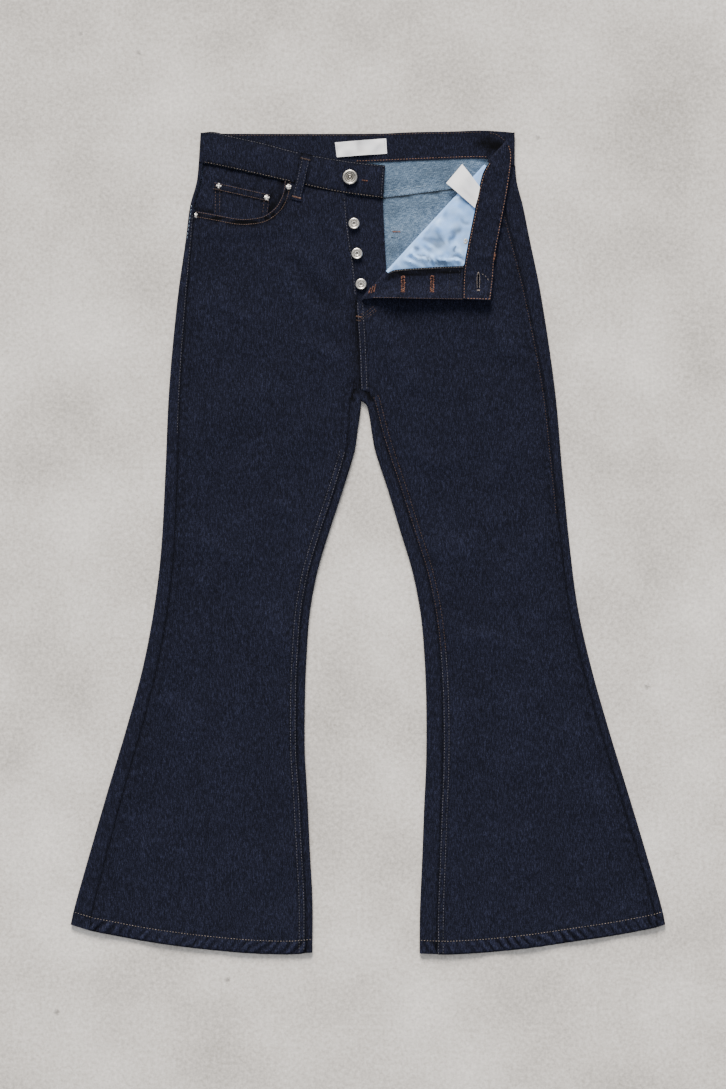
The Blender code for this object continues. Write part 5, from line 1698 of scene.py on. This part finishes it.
def buttonhole_sewing(threads, surfaces):
    """The facing's buttonholes with a tack at each foot, and the thread pulled round the waistband's."""
    facing = surfaces.fly_facing
    for number, (x, y) in enumerate(FLAP_SLITS):
        foot = y - SLIT_LONG / 2
        threads.orange.buttonhole((x, y), SLIT_LONG, SLIT_WIDE, facing, FACING, seed=40 + number)
        threads.orange.tack((x - 2.6, foot - 2.6), (x + 2.2, foot - 3), 3.0, facing, FACING, width=0.6)
        threads.pale.tack((x - 1, foot + 1.5), (x + 0.6, foot + 1.2), 1.6, facing, FACING, width=0.5)
    pulled = smooth([(150.0, 350), (149.9, 366), (151.6, 372.2), (153.5, 366), (153.0, 350)])
    threads.pale.run(pulled, surfaces.flap_band, TWO_PLY, pitch=2.4, length=2.9, width=0.65)
    x, foot = BAND_SLIT[0], BAND_SLIT[1] - BAND_SLIT_LONG / 2 - 2.2
    threads.pale.tack((x - 1.6, foot), (x + 1.6, foot), 2.6, surfaces.flap_band, TWO_PLY)


def facing_sewing(threads, facing):
    """The buttonhole facing's rows and the overlock along its inner edge."""
    for k, x in enumerate((2.0, 5.5, 9.0)):
        threads.orange.tack((x - 1, 343 + k), (x + 1.5, 350 + 2.5 * k), 2.0, facing, FACING)
    threads.brown.run(smooth(FLAP_FLY_EDGE)[3:], facing, FACING, pitch=3.6, length=3.2, width=0.55,
                      offset=0.7)
    inner = smooth(FLAP_FACING_EDGE)
    threads.navy.run(inner, facing, FACING, pitch=1.7, length=3.2, width=0.9, offset=-1.6)
    threads.navy.run(inner, facing, FACING, pitch=2.4, length=2.2, width=0.9, offset=-0.2)
    threads.pale.run(inner[1:], facing, FACING, pitch=3.6, length=1.2, width=0.8, offset=-0.7, loose=0.5)
    for x in (112, 125):
        threads.navy.run(path((x + 1, 375), (x - 1, 340)), facing, FACING, width=0.9)


def loop_sewing(threads, loop):
    """The right front loop's two rows, and a tack at each end."""
    threads.brown.tack((-92.4, 529.5), (-80, 526.5), 2.4, loop, DENIM, width=0.5)
    threads.copper.tack((-104, 477), (-92.5, 474), 2.6, loop, DENIM, width=0.5)
    for offset in (-4.4, 4.4):
        threads.grey.run(path((-85.4, 529), (-98.5, 473.5)), loop, DENIM, offset=offset, length=2.4,
                         width=0.65)


def inside_sewing(threads, waist_label):
    """The yoke seam and a pocket's corner tack inside the left back, and the waist label's ends."""
    inside_back = level(BACK_Z)
    yoke = smooth(LEFT_YOKE_SEAM)

    def hidden(x, y):
        return (x < 20) | (x > 150)
    threads.navy.run(yoke, inside_back, DENIM, offset=1.0, width=0.8, gaps=hidden)
    threads.blue.run(yoke, level(BACK_Z + 0.4), DENIM, offset=8.5, width=0.6, gaps=hidden)
    on_tack = level(BACK_Z + 1.2)
    threads.orange.tack((34, 428.6), (44, 428.6), 2.4, on_tack, DENIM)
    threads.navy.run(path((31, 421), (47, 419)), on_tack, DENIM, width=0.9)
    for a, b in (((-43.5, 549.5), (-41, 533)), ((22.6, 554.6), (24, 537.6))):
        threads.pale.run(path(a, b), waist_label, LABEL, pitch=2.6, length=1.9, width=0.5)


def back_sewing(threads):
    """The sewing that shows from underneath, set into the lower face."""
    def below(z):
        return level(z - DENIM - 0.24)
    low = below(BACK_Z)
    for leg in (RIGHT, LEFT):
        outline = back_pocket_outline(leg)
        for offset in (2.0, 8.0):
            threads.copper.run(path(*outline, outline[0])[:-1], low, DENIM, offset=-leg.side_sign * offset,
                               width=0.9)
        for offset in (2.2, 8.6):
            threads.copper.run(smooth(leg.yoke_seam)[:-3], low, DENIM, offset=leg.side_sign * offset,
                               width=0.9)
        threads.copper.run(smooth(leg.hem), low, DENIM, offset=into_leg(leg) * HEM_STITCH, width=0.9)
    centre = straight((CENTRE_BACK, 470), (CENTRE_BACK, 215))
    for offset in (2.4, 8.6):
        threads.copper.run(centre, low, DENIM, offset=offset, width=0.9)
    under_band = below(BACK_BAND_Z - 0.6)
    threads.copper.run(smooth(BACK_WAIST)[2:-2], under_band, DENIM, offset=3.0)
    threads.copper.run(smooth(BACK_BAND_TOP)[2:-2], under_band, DENIM, offset=-3.0)
    for x, _ in BACK_LOOPS:
        for y in (557, 508):
            threads.orange.tack((x - 5, y), (x + 5, y), 3.0, below(BACK_Z - 0.1), DENIM)
        for offset in (-3.8, 3.8):
            threads.navy.run(straight((x, 553), (x, 512)), low, DENIM, offset=offset, width=0.8)


def sew(surfaces):
    """All the sewing, one piece for each thread."""
    threads = Threads(
        copper=Sewing("copper_topstitching", COPPER), brown=Sewing("brown_topstitching", BROWN),
        pale=Sewing("pale_topstitching", PALE), grey=Sewing("grey_topstitching", GREY),
        orange=Sewing("orange_bar_tacks", TACK), navy=Sewing("navy_overlock", NAVY),
        blue=Sewing("light_blue_threads", STEEL_BLUE))
    leg_sewing(threads, surfaces)
    right_band_sewing(threads, surfaces.band)
    back_band_sewing(threads)
    flap_band_sewing(threads, surfaces.flap_band)
    pocket_sewing(threads, surfaces)
    fly_sewing(threads, surfaces)
    buttonhole_sewing(threads, surfaces)
    facing_sewing(threads, surfaces.fly_facing)
    loop_sewing(threads, surfaces.loop)
    inside_sewing(threads, surfaces.waist_label)
    back_sewing(threads)
    for thread in threads:
        thread.finish()


# Buttons and rivets

def turned(node, profile, place, steps, material, lobes=None, hollow=0.0, narrow=1.0):
    """A round piece from its profile, with that many steps round it.

    Its face is tarnished below the height that hollow gives. A narrow one is seen askew.
    """
    profile = np.array(profile, float)
    rim = int(np.argmax(profile[:, 0]))
    angles = np.arange(steps) * TAU / steps
    rings = []
    points = [(0.0, 0.0, profile[0][1])]
    for radius, height in profile[1:-1]:
        rings.append(len(points))
        for angle in angles:
            reach, lift = (radius, height) if lobes is None else lobes(radius, height, angle)
            points.append((narrow * reach * math.cos(angle), reach * math.sin(angle), lift))
    points.append((0.0, 0.0, profile[-1][1]))
    faces = []
    dull = []
    last = len(points) - 1
    for k in range(steps):
        n = (k + 1) % steps
        faces.append((0, rings[0] + k, rings[0] + n))
        dull.append(False)
        for number, (upper, lower) in enumerate(zip(rings, rings[1:]), start=1):
            faces.append((upper + k, lower + k, lower + n, upper + n))
            dull.append(number < rim and profile[number:number + 2, 1].mean() < hollow)
        faces.append((rings[-1] + k, last, rings[-1] + n))
        dull.append(False)
    piece = new_piece(f"{node}_metal", np.array(points) + place, faces, material, TARNISH)
    piece.data.polygons.foreach_set("material_index", np.array(dull, int))
    piece.data.set_sharp_from_angle(angle=math.radians(38))
    rides(piece, "nickel", node)


# Profiles of (radius, height), from the top of the axis down to the foot
WAIST_BUTTON_PROFILE = [
    (0, 4.2), (0.8, 4.2), (1.4, 3.8), (1.9, 2.3), (2.5, 2.3), (2.9, 3.5), (3.5, 3.9), (4.1, 3.5),
    (4.4, 2.6), (4.9, 2.6), (5.3, 3.6), (6.1, 3.8), (6.5, 3.0), (7.1, 3.0), (7.6, 4.2), (8.5, 4.7),
    (9.4, 4.5), (10.0, 3.9), (10.0, 3.2), (9.2, 2.7), (4.0, 2.0), (3.6, 1.7), (3.6, 0.7), (5.5, 0), (0, 0)]
FLY_BUTTON_PROFILE = [
    (0, 3.7), (0.5, 3.6), (0.9, 2.3), (1.5, 2.3), (1.9, 3.6), (2.6, 4.0), (3.4, 3.9), (3.8, 3.2),
    (4.4, 3.2), (4.8, 3.9), (5.1, 3.9), (5.5, 4.4), (6.4, 4.7), (7.1, 4.4), (7.5, 3.9), (7.5, 3.2),
    (6.8, 2.7), (2.8, 2.0), (2.7, 0.8), (4.2, 0), (0, 0)]
RIVET_PROFILE = [
    (0, 1.8), (0.6, 1.7), (1.0, 1.3), (1.4, 1.3), (2.2, 1.9), (3.0, 1.7), (3.8, 0.7), (3.9, 0.0), (0, 0)]
RIVET_BACK_PROFILE = [(0, 0.5), (0.9, 0.5), (1.4, 1.0), (3.0, 0.9), (3.8, 0.6), (4.2, 0.2), (4.2, 0), (0, 0)]


def petals(radius, height, angle):
    """Four hammered lobes round a rivet's pin."""
    lobe = (0.5 + 0.5 * math.cos(4 * angle + 0.6)) ** 0.8
    if radius < 1.2 or height < 0.2:
        return radius, height
    return radius * (0.5 + 0.5 * lobe), height * (0.15 + 0.85 * lobe)


def buttons():
    """The waist button on the band, and the fly buttons on their stand."""
    x, y = WAIST_BUTTON
    turned("waist_button", WAIST_BUTTON_PROFILE, (x, y, FRONT_BAND_Z + TWO_PLY / 2 + GAP), 56, NICKEL,
           hollow=3.2)
    for number, (x, y) in enumerate(FLY_BUTTONS, start=1):
        turned(f"fly_button_{number}", FLY_BUTTON_PROFILE, (x, y, STAND_Z + STAND_PLY / 2 + GAP), 44,
               BRIGHT_NICKEL, hollow=3.4)


def rivets():
    """Four rivets with hammered caps, the outermost one askew, and the back of a fifth."""
    for node, (x, y, z) in RIVETS.items():
        turned(node, RIVET_PROFILE, (x, y, z + GAP), 32, WORN_NICKEL, petals,
               narrow=0.5 if node == "rivet_mouth_outer" else 1.0)
    x, y, z = RIVET_BACK
    turned("rivet_flap_back", RIVET_BACK_PROFILE, (x, y, z + GAP), 32, BRIGHT_NICKEL)


# Room

def room():
    """A pale floor, low soft daylight from the waist's end, and a camera straight above."""
    reach = 6.0
    drop = -0.5 * MM
    mesh = bpy.data.meshes.new("floor")
    corners = [(x * reach, y * reach, drop) for x, y in ((-1, -1), (1, -1), (1, 1), (-1, 1))]
    mesh.from_pydata(corners, [], [(0, 1, 2, 3)])
    mesh.materials.append(pale_concrete())
    floor = bpy.data.objects.new("floor", mesh)
    bpy.context.scene.collection.objects.link(floor)

    world = bpy.data.worlds.new("soft_studio")
    bpy.context.scene.world = world
    world.use_nodes = True
    background = world.node_tree.nodes["Background"]
    background.inputs["Color"].default_value = linear("#eef0f3")
    background.inputs["Strength"].default_value = 0.66

    daylight = bpy.data.lights.new("daylight", "SUN")
    daylight.energy = 7.2
    daylight.angle = math.radians(26)
    daylight.color = linear("#fff7ee")[:3]
    overhead = bpy.data.lights.new("overhead_panel", "AREA")
    overhead.size = 2.2
    overhead.energy = 26
    overhead.color = linear("#fbfbff")[:3]
    for light, place in ((daylight, (-0.2, 1.7, 0.9)), (overhead, (0.1, 0.3, 4.6))):
        lamp = bpy.data.objects.new(light.name, light)
        lamp.location = place
        lamp.rotation_euler = (-Vector(place)).to_track_quat("-Z", "Y").to_euler()
        bpy.context.scene.collection.objects.link(lamp)

    view_tall = 1.5006
    view_middle = (-6.89, -2.067)
    distance = 4.0
    camera = bpy.data.cameras.new("camera")
    camera.sensor_fit = "VERTICAL"
    camera.sensor_height = 36.0
    camera.lens = camera.sensor_height * distance / view_tall
    camera.clip_end = 30.0
    eye = bpy.data.objects.new("camera", camera)
    eye.location = (view_middle[0] * MM, (view_middle[1] - MIDDLE_Y) * MM, distance)
    bpy.context.scene.collection.objects.link(eye)
    bpy.context.scene.camera = eye


def main():
    """The room, then the pieces from the lowest layer up, then their sewing and metal."""
    room()
    for leg in (RIGHT, LEFT):
        back_panel(leg)
        back_yoke(leg)
        back_pocket(leg)
    right_front = right_front_relief()
    left_front = left_front_relief()
    front_right_panel(right_front)
    front_left_panel(left_front)
    band, flap_band = waistband()
    right_pocket_facing()
    coin = coin_pocket()
    fly_shield()
    facing = fly_facing()
    left_pocket_bag()
    loop = belt_loops()
    waist_label = labels()
    sew(Surfaces(right_front, left_front, band, flap_band, coin, facing, loop, waist_label))
    buttons()
    rivets()


main()
